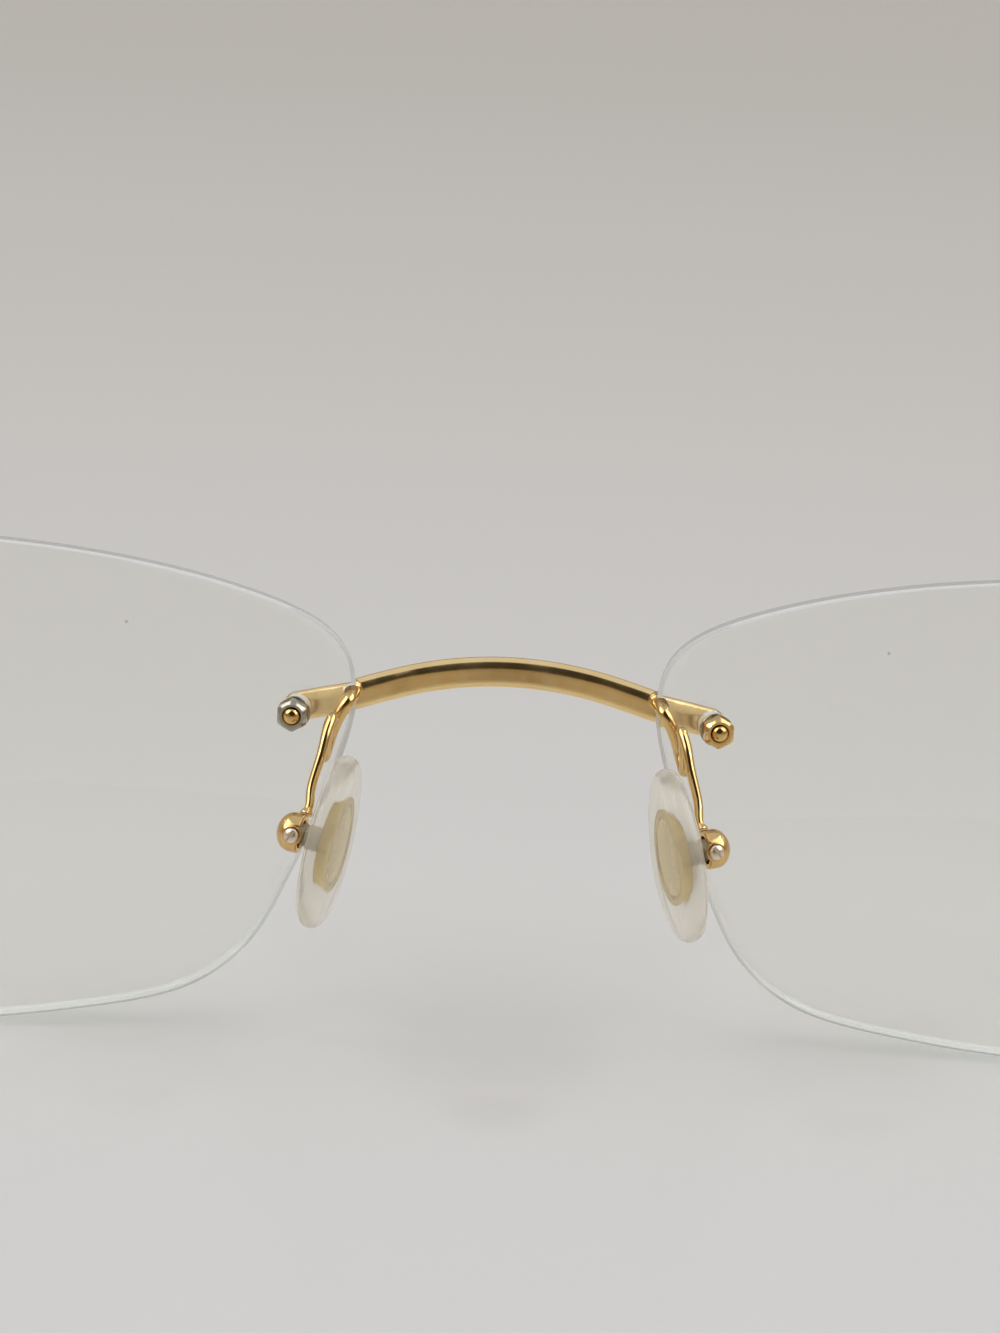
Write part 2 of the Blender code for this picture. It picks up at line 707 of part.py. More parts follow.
def hinge_screw_shape():
    """Return the hinge screw with its domed head above the upper knuckle."""
    top = 0.5 * HINGE_HEIGHT + RUNNING_FIT
    rim = top + 0.4 * HINGE_HEAD_HEIGHT
    shank = [(HINGE_SCREW_RADIUS, -0.5 * HINGE_HEIGHT), (HINGE_SCREW_RADIUS, top)]
    head = [(HINGE_HEAD_RADIUS, top), (HINGE_HEAD_RADIUS, rim)]
    return turned([*shank, *head, *dome(HINGE_HEAD_RADIUS, rim, 0.6 * HINGE_HEAD_HEIGHT)], 18)


def temple_point(s):
    """Return the temple's centre line at distance s from the hinge, in the hinge's frame."""
    inward = TEMPLE_INWARD_CURVE * max((s - 0.4 * TEMPLE_LENGTH) / (0.6 * TEMPLE_LENGTH), 0.0) ** 2
    bent = max(s - TEMPLE_BEND_START, 0.0)
    angle = min(bent / TEMPLE_BEND_RADIUS, math.radians(TEMPLE_BEND_ANGLE))
    straight = bent - TEMPLE_BEND_RADIUS * angle
    back = min(s, TEMPLE_BEND_START) + TEMPLE_BEND_RADIUS * math.sin(angle) + straight * math.cos(angle)
    drop = TEMPLE_BEND_RADIUS * (1 - math.cos(angle)) + straight * math.sin(angle)
    return Vector((bar_offset() - inward, back, -drop))


def spaced(start, end, count):
    """Return the distances that divide start to end into equal steps."""
    return [start + (end - start) * i / count for i in range(count + 1)]


def core_distances():
    """Return the distances along the temple where its core wire and the tip's bore turn."""
    bore_end = TEMPLE_LENGTH - TIP_BLIND_END
    return [*spaced(TIP_START, TEMPLE_BEND_START, 2), *spaced(TEMPLE_BEND_START, bore_end, 12)[1:]]


def temple_shape():
    """Return the temple: a tall root at the hinge, a slim bar and a round core wire."""
    wire_start = TIP_START - CORE_WIRE_TAPER
    distances = [
        *spaced(0.5 * BUTT_GAP, TEMPLE_ROOT_LENGTH, 6),
        *spaced(TEMPLE_ROOT_LENGTH, wire_start, 5)[1:],
        *spaced(wire_start, TIP_START, 3)[1:-1],
        *core_distances(),
    ]
    distances[-1] -= 2 * SOLDER_GAP

    def section(i):
        """Return the temple's section at one of its stations."""
        root = 1 - smoothstep(distances[i] / TEMPLE_ROOT_LENGTH)
        height = TEMPLE_HEIGHT + (HINGE_HEIGHT - TEMPLE_HEIGHT) * root
        depth = TEMPLE_DEPTH + (BAR_DEPTH - TEMPLE_DEPTH) * root
        flat = bar_section(height, depth, height * BAR_FLAT / BAR_HEIGHT)
        share = smoothstep((distances[i] - wire_start) / CORE_WIRE_TAPER)
        return blend(flat, round_section(flat, CORE_WIRE_RADIUS), share)

    return loft(rings_along([temple_point(s) for s in distances], section))


def tip_shape():
    """Return the temple tip: a sleeve with a blind bore that swells and ends round."""
    sides = 12
    rounding = 0.5 * TIP_HEIGHT
    inside = core_distances()
    outside = [*spaced(TIP_START, TEMPLE_LENGTH - rounding, 16)]
    outside += [TEMPLE_LENGTH - rounding * (1 - math.sin(math.radians(a))) for a in (35, 60, 80)]

    def outer(i):
        """Return the sleeve's oval section, rounded off over the last stretch."""
        growth = smoothstep((outside[i] - TIP_START) / TIP_GROWTH)
        depth = TIP_MOUTH_RADIUS + (0.5 * TIP_DEPTH - TIP_MOUTH_RADIUS) * growth
        height = TIP_MOUTH_RADIUS + (0.5 * TIP_HEIGHT - TIP_MOUTH_RADIUS) * growth
        beyond = max(outside[i] - TEMPLE_LENGTH + rounding, 0.0) / rounding
        share = math.sqrt(1 - beyond ** 2)
        return [(p.x * depth * share, p.y * height * share) for p in circle(1.0, 0.0, sides)]

    hole = [(p.x, p.y) for p in circle(CORE_WIRE_RADIUS + RUNNING_FIT, 0.0, sides)]
    rings = rings_along([temple_point(s) for s in inside], lambda i: hole)[::-1]
    return loft(rings + rings_along([temple_point(s) for s in outside], outer))


def build_bridge(front):
    """Build the bridge bar with its lugs and return it."""
    hole = -0.5 * LENS_WIDTH + NASAL_HOLE_INSET
    edge = over_lens(-0.5 * LENS_WIDTH, BRIDGE_EDGE_HEIGHT).x
    anchors = [over_lens(hole, nasal_height(hole))]
    for share in (0.55, 0.15):
        u = -0.5 * LENS_WIDTH + NASAL_HOLE_INSET * share
        anchors.append(over_lens(u, nasal_height(u)))
    anchors += [bridge_arch(edge * share) for share in (0.85, 0.6, 0.3)]
    anchors += [bridge_arch(0.0)] + [Vector((-p.x, p.y, p.z)) for p in anchors[::-1]]
    middle = [(point, 1.0) for point in even_points(curve_through(anchors), 28)][::-1]
    end = rounded_bar_end(hole, 1, nasal_height)
    other = [(Vector((-point.x, point.y, point.z)), share) for point, share in end]
    bridge = add_piece("bridge", bar(other[::-1] + middle + end), front, GOLD)
    for name, side in SIDES.items():
        lug = turned([(LUG_RADIUS, -0.5 * BAR_DEPTH), (LUG_RADIUS, LUG_REACH)], 20)
        place = mirror(side) @ Matrix.Translation(lug_position()) @ along_y()
        combine(bridge, add_cutter(f"lug_{name}", moved(lug, place), front), "UNION")
    return bridge


def build_mount(place, name, side, u, v, bar_piece, lens, front):
    """Build the screw, bush, washer and nut that hold a bar on a lens, and drill both."""
    frame = mirror(side) @ lens_frame(u, v)
    hole = add_cutter(f"{place}_hole_{name}", moved(mount_cutter(), frame), front)
    combine(bar_piece, hole)
    combine(lens, hole)
    add_piece(f"{place}_screw_{name}", moved(mount_screw(), frame), front, GOLD)
    add_piece(f"{place}_bush_{name}", moved(mount_bush(), frame), front, PLASTIC_CLEAR)
    add_piece(f"{place}_washer_{name}", moved(mount_washer(), frame), front, STEEL)
    add_piece(f"{place}_nut_{name}", moved(mount_nut(), frame), front, GOLD)


def build_pad(name, side, front):
    """Build a pad arm with its cup and screw, and the pad that rocks on the screw."""
    path = arm_path()
    last = len(path) - 1
    arm = wire(path, lambda i: ARM_START_RADIUS + (ARM_END_RADIUS - ARM_START_RADIUS) * i / last, 10)
    add_piece(f"pad_arm_{name}", moved(arm, mirror(side)), front, GOLD)
    fixed = mirror(side) @ pad_frame(pad_pivot())
    cup = add_piece(f"pad_box_{name}", moved(cup_shape(), fixed), front, GOLD)
    add_piece(f"pad_screw_{name}", moved(pad_screw_shape(), fixed), front, GOLD)
    bore = PAD_SCREW_RADIUS + RUNNING_FIT
    cross = turned([(bore, -2 * CUP_RADIUS), (bore, 2 * CUP_RADIUS)], 16)
    cross_hole = add_cutter(f"pad_screw_hole_{name}", moved(moved(cross, along_y()), fixed), front)
    combine(cup, cross_hole)

    pivot = holder(f"pad_{name}_pivot", front, Matrix.Translation(mirror(side) @ pad_pivot()))
    turning = mirror(side) @ pad_frame()
    stem = add_piece(f"pad_stem_{name}", moved(stem_shape(), turning), pivot, PLASTIC_CLEAR)
    combine(stem, cross_hole)
    back = -PAD_STANDOFF - CORE_DEPTH
    core = plate_shape(0.0, back, back - CORE_THICKNESS)
    add_piece(f"pad_core_{name}", moved(core, turning), pivot, GOLD)
    pad = add_piece(f"pad_{name}", moved(pad_shape(), turning), pivot, PAD_CLEAR)
    pocket = plate_shape(RUNNING_FIT, -0.5 * PAD_STANDOFF, back - CORE_THICKNESS - SOLDER_GAP)
    combine(pad, add_cutter(f"pad_pocket_{name}", moved(pocket, turning), pivot))


def build_temple(name, side, front):
    """Build a hinge and the temple that folds on it."""
    place = mirror(side) @ hinge_frame()
    leaf = add_piece(f"hinge_front_{name}", moved(knuckle_block(-1, HINGE_HEIGHT), place), front, GOLD)
    combine(leaf, add_cutter(f"hinge_slot_{name}", moved(knuckle_slot(), place), front))
    add_piece(f"hinge_screw_{name}", moved(hinge_screw_shape(), place), front, GOLD)

    axis = hinge_frame()
    axis.translation.x *= side
    pivot = holder(f"temple_{name}_pivot", front, axis)
    middle = knuckle_block(1, HINGE_HEIGHT / 3 - 2 * RUNNING_FIT)
    add_piece(f"hinge_rear_{name}", moved(middle, mirror(side)), pivot, GOLD)
    add_piece(f"temple_{name}", moved(temple_shape(), mirror(side)), pivot, GOLD)
    add_piece(f"temple_tip_{name}", moved(tip_shape(), mirror(side)), pivot, TIP_BROWN)


def set_down(front):
    """Lean the glasses until the lenses and the temple tips touch the table, and centre them on it."""
    bpy.context.view_layer.update()
    pieces = [piece for piece in bpy.data.objects if piece.type == "MESH" and not piece.hide_render]
    points = {piece.name: [piece.matrix_world @ v.co for v in piece.data.vertices] for piece in pieces}

    def lowest(prefix, lean):
        """Return the lowest height of the pieces whose names start with prefix, at a lean."""
        turn = Matrix.Rotation(lean, 3, "X")
        return min((turn @ p).z for name in points if name.startswith(prefix) for p in points[name])

    low, high = 0.0, math.radians(30)
    for _ in range(40):
        lean = 0.5 * (low + high)
        if lowest("temple_tip", lean) < lowest("lens", lean):
            low = lean
        else:
            high = lean
    turn = Matrix.Rotation(lean, 4, "X")
    y_values = [(turn @ p).y for name in points for p in points[name]]
    middle = 0.5 * (min(y_values) + max(y_values))
    front.matrix_world = Matrix.Translation((0, -middle, -lowest("", lean))) @ turn


def main():
    """Build the whole pair of glasses."""
    clear_scene()
    front = holder("front")
    bridge = build_bridge(front)
    nasal_u = -0.5 * LENS_WIDTH + NASAL_HOLE_INSET
    temporal_u = 0.5 * LENS_WIDTH - TEMPORAL_HOLE_INSET
    for name, side in SIDES.items():
        lens = add_piece(f"lens_{name}", moved(lens_shape(), mirror(side)), front, LENS_CLEAR)
        endpiece = add_piece(f"endpiece_{name}", moved(endpiece_shape(), mirror(side)), front, GOLD)
        combine(lens, add_cutter(f"lens_notch_{name}", moved(notch_cutter(), mirror(side)), front))
        build_mount("nasal", name, side, nasal_u, nasal_height(nasal_u), bridge, lens, front)
        build_mount("temporal", name, side, temporal_u, TEMPORAL_HOLE_HEIGHT, endpiece, lens, front)
        build_pad(name, side, front)
        build_temple(name, side, front)
    set_down(front)


main()
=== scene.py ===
"""Rimless glasses laid on a pale table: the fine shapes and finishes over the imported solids.

The front is worked out in its own frame, as the solids are: x to the wearer's left, y towards the
wearer and z up from the lenses' centre line. Every shape is a grid of points, one row for each step
along it and one column for each step round it. Lengths are in metres and angles in degrees.
"""
import json
import logging
import math
from collections.abc import Callable
from dataclasses import dataclass
from enum import Enum

import bmesh
import bpy
import numpy as np
from mathutils import Matrix, Vector


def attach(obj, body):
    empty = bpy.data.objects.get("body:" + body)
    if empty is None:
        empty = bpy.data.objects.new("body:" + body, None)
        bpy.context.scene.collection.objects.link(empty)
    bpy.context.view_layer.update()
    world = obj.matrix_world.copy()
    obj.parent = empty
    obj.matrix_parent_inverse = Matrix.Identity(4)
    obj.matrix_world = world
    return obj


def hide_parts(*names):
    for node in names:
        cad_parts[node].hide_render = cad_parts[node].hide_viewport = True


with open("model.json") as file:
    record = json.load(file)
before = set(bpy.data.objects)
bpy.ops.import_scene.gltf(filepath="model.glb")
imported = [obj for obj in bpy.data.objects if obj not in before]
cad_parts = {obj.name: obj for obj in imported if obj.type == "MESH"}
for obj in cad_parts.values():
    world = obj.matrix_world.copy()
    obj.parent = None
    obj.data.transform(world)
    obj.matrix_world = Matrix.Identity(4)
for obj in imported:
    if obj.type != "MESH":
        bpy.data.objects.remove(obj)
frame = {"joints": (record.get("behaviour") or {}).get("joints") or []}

Array = np.ndarray
HeightAt = Callable[[Array], Array]
Material = bpy.types.Material
Node = bpy.types.Node
Piece = bpy.types.Object
Socket = bpy.types.NodeSocket
Tree = bpy.types.NodeTree

log = logging.getLogger("glasses")
PHOTO_SIZE = (1000, 1333)
TO_MM = 1000.0
# The angle past which an edge stays crisp: for most pieces, and for the nuts
CRISP = 40.0
CRISP_NUT = 24.0


class Side(Enum):
    """The wearer's left and right, as the sign of x."""

    LEFT = 1
    RIGHT = -1

    @property
    def word(self) -> str:
        """Return the side's name as the nodes spell it."""
        return self.name.lower()

    def mirror(self) -> Matrix:
        """Return the matrix that puts a left-hand shape on this side."""
        return Matrix.Diagonal((self.value, 1, 1, 1))


class MountPlace(Enum):
    """Which edge of the lens a mount stands at."""

    NASAL = "nasal"
    TEMPORAL = "temporal"


class Skin(Enum):
    """How a grid of points closes: with a pole at each end, or its last row on its first."""

    CAPPED = "capped"
    LOOPED = "looped"


def unit(vectors: Array) -> Array:
    """Return vectors scaled to length one along their last axis."""
    return vectors / np.linalg.norm(vectors, axis=-1, keepdims=True)


def smoothstep(value: Array) -> Array:
    """Ease values between 0 and 1 by 3t^2 - 2t^3."""
    value = np.clip(value, 0.0, 1.0)
    return value * value * (3 - 2 * value)


def curve_through(points: Array, closed: bool = False, steps: int = 24) -> Array:
    """Draw a smooth line through points.

    It is a centripetal Catmull-Rom spline. Each stretch blends three straight lines, timed by the
    square roots of the distances between the points, and then blends the blends.

    Args:
        points: The points, one in each row.
        closed: Whether the line comes back to its first point.
        steps: How many steps each stretch takes.

    Returns:
        The points of the line, with the last one given.
    """
    points = np.asarray(points, float)
    if closed:
        knots = np.vstack([points[-1:], points, points[:2]])
    else:
        knots = np.vstack([2 * points[:1] - points[1:2], points, 2 * points[-1:] - points[-2:-1]])
    p0, p1, p2, p3 = (knots[i : len(knots) - 3 + i, None] for i in range(4))
    t1 = np.sqrt(np.linalg.norm(p1 - p0, axis=2, keepdims=True))
    t2 = t1 + np.sqrt(np.linalg.norm(p2 - p1, axis=2, keepdims=True))
    t3 = t2 + np.sqrt(np.linalg.norm(p3 - p2, axis=2, keepdims=True))
    t = t1 + (t2 - t1) * (np.arange(steps) / steps)[None, :, None]
    a1 = p0 + (p1 - p0) * t / t1
    a2 = p1 + (p2 - p1) * (t - t1) / (t2 - t1)
    a3 = p2 + (p3 - p2) * (t - t2) / (t3 - t2)
    b1 = a1 + (a2 - a1) * t / t2
    b2 = a2 + (a3 - a2) * (t - t1) / (t3 - t1)
    line = b1 + (b2 - b1) * (t - t1) / (t2 - t1)
    end = points[:1] if closed else points[-1:]
    return np.vstack([line.reshape(-1, points.shape[1]), end])


def run_of(path: Array) -> Array:
    """Return the distance along a path at each of its points."""
    return np.concatenate([[0.0], np.cumsum(np.linalg.norm(np.diff(path, axis=0), axis=1))])


def spread(line: Array, count: int) -> Array:
    """Spread points evenly along a line, by interpolating each coordinate over its length.

    Args:
        line: The points of the line.
        count: How many points to return.

    Returns:
        The new points.
    """
    run = run_of(line)
    wanted = np.linspace(0.0, run[-1], count)
    return np.stack([np.interp(wanted, run, line[:, k]) for k in range(line.shape[1])], axis=1)


def soften(corners: list[tuple[float, float]], reach: float, closed: bool = False, steps: int = 7) -> Array:
    """Round the corners of an outline.

    Each corner c becomes the parabola (1-t)^2 a + 2t(1-t) c + t^2 b, where a and b lie on its two
    sides at the given reach, or at 45% of a shorter side.

    Args:
        corners: The outline's corners in order.
        reach: How far from a corner its rounding starts.
        closed: Whether the last corner joins the first; an open outline keeps its ends.
        steps: How many points each rounding takes.

    Returns:
        The points of the softened outline.
    """
    c = np.asarray(corners, float)
    back = np.roll(c, 1, axis=0) - c
    ahead = np.roll(c, -1, axis=0) - c
    back_length = np.linalg.norm(back, axis=1, keepdims=True)
    ahead_length = np.linalg.norm(ahead, axis=1, keepdims=True)
    limit = np.minimum(reach, 0.45 * np.minimum(back_length, ahead_length))
    if not closed:
        limit[0] = limit[-1] = 0.0
    a = (c + back / back_length * limit)[:, None]
    b = (c + ahead / ahead_length * limit)[:, None]
    t = np.linspace(0.0, 1.0, steps)[None, :, None]
    line = ((1 - t) ** 2 * a + 2 * t * (1 - t) * c[:, None] + t**2 * b).reshape(-1, 2)
    fresh = np.linalg.norm(line - np.roll(line, 1, axis=0), axis=1) > 1e-9
    return line[fresh] if closed else line[fresh | (np.arange(len(line)) == 0)]


@dataclass
class Surface:
    """A closed surface as a grid of points.

    Attributes:
        grid: The points, rows by columns by x, y and z; each row is a closed ring.
        skin: How the rows close.
        unrolled: Each point's place in millimetres on the unbent stock, which the finishes follow.
        bands: Which of the piece's materials each band between two rows takes.
    """

    grid: Array
    skin: Skin = Skin.CAPPED
    unrolled: Array | None = None
    bands: Array | None = None

    def index(self) -> Array:
        """Return the number of each point, in the grid's layout."""
        rows, columns = self.grid.shape[:2]
        return np.arange(rows * columns).reshape(rows, columns)

    def quads(self) -> Array:
        """Join neighbouring rows and columns.

        Returns:
            The faces as four point numbers each.
        """
        index = self.index()
        low = index if self.skin is Skin.LOOPED else index[:-1]
        high = np.roll(index, -1, axis=0) if self.skin is Skin.LOOPED else index[1:]
        corners = [low, np.roll(low, -1, axis=1), np.roll(high, -1, axis=1), high]
        return np.stack(corners, axis=-1).reshape(-1, 4)

    def caps(self) -> Array:
        """Close the end rows on the two poles, which follow the grid's points.

        Returns:
            The faces as three point numbers each; a looped surface has none.
        """
        if self.skin is Skin.LOOPED:
            return np.zeros((0, 3), int)
        index = self.index()
        first = [np.roll(index[0], -1), index[0], np.full_like(index[0], index.size)]
        last = [index[-1], np.roll(index[-1], -1), np.full_like(index[-1], index.size + 1)]
        return np.vstack([np.stack(first, axis=1), np.stack(last, axis=1)])

    def points(self, values: Array) -> Array:
        """List values of the grid's points and of the poles.

        Args:
            values: One value for each point, in the grid's layout.

        Returns:
            The values in a row each, then the means of the end rows at the two poles.
        """
        flat = values.reshape(-1, 3)
        if self.skin is Skin.LOOPED:
            return flat
        return np.vstack([flat, values[0].mean(axis=0), values[-1].mean(axis=0)])

    def slots(self) -> Array:
        """Number the faces' materials.

        Returns:
            The material number of each face, the end triangles as their nearest band.
        """
        columns = self.grid.shape[1]
        bands = self.bands
        if bands is None:
            bands = np.zeros(len(self.quads()) // columns, int)
        faces = np.repeat(bands, columns)
        if self.skin is Skin.LOOPED:
            return faces
        return np.concatenate([faces, np.repeat(bands[[0, -1]], columns)])


def sweep(path: Array, sections: Array, level: tuple[float, float, float] = (0, 0, 1)) -> Surface:
    """Carry a section along a path.

    At each point the section's first coordinate runs along level x direction and its second
    along direction x that, where direction is the path's central difference.

    Args:
        path: The points of the path.
        sections: The section at each point of the path, or one for all, as pairs.
        level: The axis that the first coordinate stays square to.

    Returns:
        The surface, with its distance along the path and its section as its unrolled place.
    """
    along = unit(np.vstack([path[1:], path[-1:]]) - np.vstack([path[:1], path[:-1]]))
    inward = unit(np.cross(np.asarray(level, float), along))
    upward = np.cross(along, inward)
    sections = np.broadcast_to(sections, (len(path), *sections.shape[-2:]))
    grid = path[:, None] + inward[:, None] * sections[..., :1] + upward[:, None] * sections[..., 1:]
    run = np.broadcast_to(run_of(path)[:, None, None], (*sections.shape[:2], 1))
    return Surface(grid, unrolled=np.concatenate([run, sections], axis=2) * TO_MM)


def turned(profile: Array | list, sides: int = 72, skin: Skin = Skin.CAPPED) -> Surface:
    """Turn a profile about z: x and y are the radius times the angle's cosine and sine.

    Args:
        profile: Pairs of radius and height.
        sides: How many steps the full turn takes.
        skin: How the profile's ends close.

    Returns:
        The turned surface.
    """
    radius, height = np.asarray(profile, float).T
    angle = 2 * math.pi * np.arange(sides) / sides
    x = radius[:, None] * np.cos(angle)
    y = radius[:, None] * np.sin(angle)
    return Surface(np.stack([x, y, np.broadcast_to(height[:, None], x.shape)], axis=-1), skin)


def oval(length: float, width: float, taper: float, sides: int = 96) -> Array:
    """Draw an oval whose width shrinks by taper times the angle's sine.

    Args:
        length: Its length.
        width: Its width at half its length.
        taper: The share of its width that it loses at its far end.
        sides: How many points it has.

    Returns:
        The points as pairs (across, along).
    """
    angle = 2 * math.pi * np.arange(sides) / sides
    across = 0.5 * width * np.cos(angle) * (1 - taper * np.sin(angle))
    return np.stack([across, 0.5 * length * np.sin(angle)], axis=1)


def stacked(outlines: Array, heights: Array, skin: Skin = Skin.CAPPED) -> Surface:
    """Stack outlines in the y-z plane along x, one at each height."""
    x = np.broadcast_to(np.asarray(heights, float)[:, None, None], (*outlines.shape[:2], 1))
    return Surface(np.concatenate([x, outlines], axis=2), skin)


def driver_slot(reach: float, width: float, low: float, high: float) -> Surface:
    """Draw the block that cuts a driver slot across a screw's head.

    Args:
        reach: Half its length.
        width: The slot's width.
        low: Its lower end along the screw.
        high: Its upper end.

    Returns:
        The cutter.
    """
    half = 0.5 * width
    ring = np.array([(-reach, -half), (reach, -half), (reach, half), (-reach, half)])
    return Surface(np.array([np.column_stack([ring, np.full(4, z)]) for z in (low, high)]))


def frame_of(origin: Vector, x_axis: Vector, y_axis: Vector, z_axis: Vector) -> Matrix:
    """Build the matrix of a frame.

    Args:
        origin: The frame's origin.
        x_axis: Its x axis.
        y_axis: Its y axis.
        z_axis: Its z axis.

    Returns:
        The matrix from the frame to the space that the vectors are in.
    """
    matrix = Matrix((x_axis, y_axis, z_axis)).transposed().to_4x4()
    matrix.translation = origin
    return matrix


def turn_about(axis: str, angle: float) -> Matrix:
    """Return the turn about an axis by an angle in degrees."""
    return Matrix.Rotation(math.radians(angle), 4, axis)


ALONG_X = turn_about("Y", 90)
ALONG_Y = turn_about("X", -90)


def srgb(code: str) -> tuple[float, float, float, float]:
    """Turn an sRGB hex code into a linear colour.

    Args:
        code: The code, such as #EFC47C.

    Returns:
        Red, green and blue, and an alpha of 1.
    """
    channels = np.array([int(code[i : i + 2], 16) for i in (1, 3, 5)]) / 255
    linear = np.where(channels <= 0.04045, channels / 12.92, ((channels + 0.055) / 1.055) ** 2.4)
    return (*(float(value) for value in linear), 1.0)


def add_node(tree: Tree, kind: str, settings: dict | None = None, links: dict | None = None) -> Node:
    """Add a node to a tree.

    Args:
        tree: The tree of a material or the world.
        kind: The node's type.
        settings: Values by the name of a property, or by the name or number of an input.
        links: Sockets to link, by the name or number of the input that each feeds.

    Returns:
        The new node.
    """
    node = tree.nodes.new(kind)
    for name, value in (settings or {}).items():
        if isinstance(name, str) and hasattr(node, name):
            setattr(node, name, value)
        else:
            node.inputs[name].default_value = value
    for name, socket in (links or {}).items():
        tree.links.new(socket, node.inputs[name])
    return node


@dataclass(frozen=True)
class Finish:
    """A finish of the glasses.

    Attributes:
        name: The material and how its surface was made.
        slot: The record's material slot that it stands for.
    """

    name: str
    slot: str

    def material(self) -> Material:
        """Make the finish's material the first time that it is asked for.

        Returns:
            The material.
        """
        made = bpy.data.materials.get(self.name)
        if made:
            return made
        made = bpy.data.materials.new(self.name)
        made.use_nodes = True
        shader = made.node_tree.nodes["Principled BSDF"]
        self.dress(made.node_tree, shader)
        return made

    def dress(self, tree: Tree, shader: Node) -> None:
        """Set the shader and add the finish's patterns."""
        raise NotImplementedError

    def place(self, tree: Tree) -> Socket:
        """Return the place on the unbent stock in millimetres."""
        return add_node(tree, "ShaderNodeAttribute", {"attribute_name": "unrolled"}).outputs["Vector"]

    def let_light_through(self, tree: Tree, shader: Node, tint: str) -> None:
        """Let lamps shine through a clear piece, so that its shadow is only a faint tint.

        Args:
            tree: The material's tree.
            shader: Its main shader.
            tint: The colour that the light keeps at each surface.
        """
        rays = add_node(tree, "ShaderNodeLightPath")
        open_air = add_node(tree, "ShaderNodeBsdfTransparent", {"Color": srgb(tint)})
        inputs = {0: rays.outputs["Is Shadow Ray"], 1: shader.outputs[0], 2: open_air.outputs[0]}
        mix = add_node(tree, "ShaderNodeMixShader", links=inputs)
        tree.links.new(mix.outputs[0], tree.nodes["Material Output"].inputs["Surface"])


@dataclass(frozen=True)
class PolishedPlate(Finish):
    """Metal that is plated and buffed: it mirrors the room, softened by faint wipe marks."""

    bright: str = "#FCE0A6"
    deep: str = "#F3CF8A"
    roughness: tuple[float, float] = (0.05, 0.13)
    cloud_mm: float = 1.4
    hairline_mm: float = 0.09
    hairline_depth: float = 0.0000004

    def dress(self, tree: Tree, shader: Node) -> None:
        """Cloud the plate's colour and gloss, and draw hairlines along the stock.

        Args:
            tree: The material's tree.
            shader: Its main shader.
        """
        place = self.place(tree)
        size = {"Scale": 1 / self.cloud_mm, "Detail": 3.0}
        cloud = add_node(tree, "ShaderNodeTexNoise", size, {"Vector": place})
        colours = {"data_type": "RGBA", 6: srgb(self.deep), 7: srgb(self.bright)}
        tint = add_node(tree, "ShaderNodeMix", colours, {0: cloud.outputs["Fac"]})
        tree.links.new(tint.outputs[2], shader.inputs["Base Color"])
        low, high = self.roughness
        limits = {"From Min": 0.35, "From Max": 0.7, "To Min": low, "To Max": high}
        gloss = add_node(tree, "ShaderNodeMapRange", limits, {"Value": cloud.outputs["Fac"]})
        tree.links.new(gloss.outputs["Result"], shader.inputs["Roughness"])
        # Buffing drags the hairlines out to some thirty times their width along the stock
        drag = {"vector_type": "POINT", "Scale": (0.03, 1.0, 1.0)}
        stretched = add_node(tree, "ShaderNodeMapping", drag, {"Vector": place})
        fine = {"Scale": 1 / self.hairline_mm, "Detail": 2.0}
        hairlines = add_node(tree, "ShaderNodeTexNoise", fine, {"Vector": stretched.outputs[0]})
        depth = {"Strength": 1.0, "Distance": self.hairline_depth}
        bump = add_node(tree, "ShaderNodeBump", depth, {"Height": hairlines.outputs["Fac"]})
        tree.links.new(bump.outputs[0], shader.inputs["Normal"])
        shader.inputs["Metallic"].default_value = 1.0


@dataclass(frozen=True)
class OpticalPlastic(Finish):
    """Cast lens plastic, polished on both faces: clear, with a few specks of dust."""

    clear: str = "#FEFEFB"
    dust: str = "#8A8680"
    ior: float = 1.5
    speck_pitch_mm: float = 9.0
    speck_mm: float = 0.16
    shadow: str = "#F8FAF8"

    def dress(self, tree: Tree, shader: Node) -> None:
        """Make the plastic clear and strew the dust.

        Args:
            tree: The material's tree.
            shader: Its main shader.
        """
        place = self.place(tree)
        cells = {"Scale": 1 / self.speck_pitch_mm, "Randomness": 1.0}
        dust = add_node(tree, "ShaderNodeTexVoronoi", cells, {"Vector": place})
        edge = self.speck_mm / self.speck_pitch_mm
        limits = {"From Min": 0.4 * edge, "From Max": edge, "To Min": 1.0, "To Max": 0.0}
        speck = add_node(tree, "ShaderNodeMapRange", limits, {"Value": dust.outputs["Distance"]})
        colours = {"data_type": "RGBA", 6: srgb(self.clear), 7: srgb(self.dust)}
        tint = add_node(tree, "ShaderNodeMix", colours, {0: speck.outputs["Result"]})
        tree.links.new(tint.outputs[2], shader.inputs["Base Color"])
        shader.inputs["Roughness"].default_value = 0.0
        shader.inputs["IOR"].default_value = self.ior
        shader.inputs["Transmission Weight"].default_value = 1.0
        self.let_light_through(tree, shader, self.shadow)


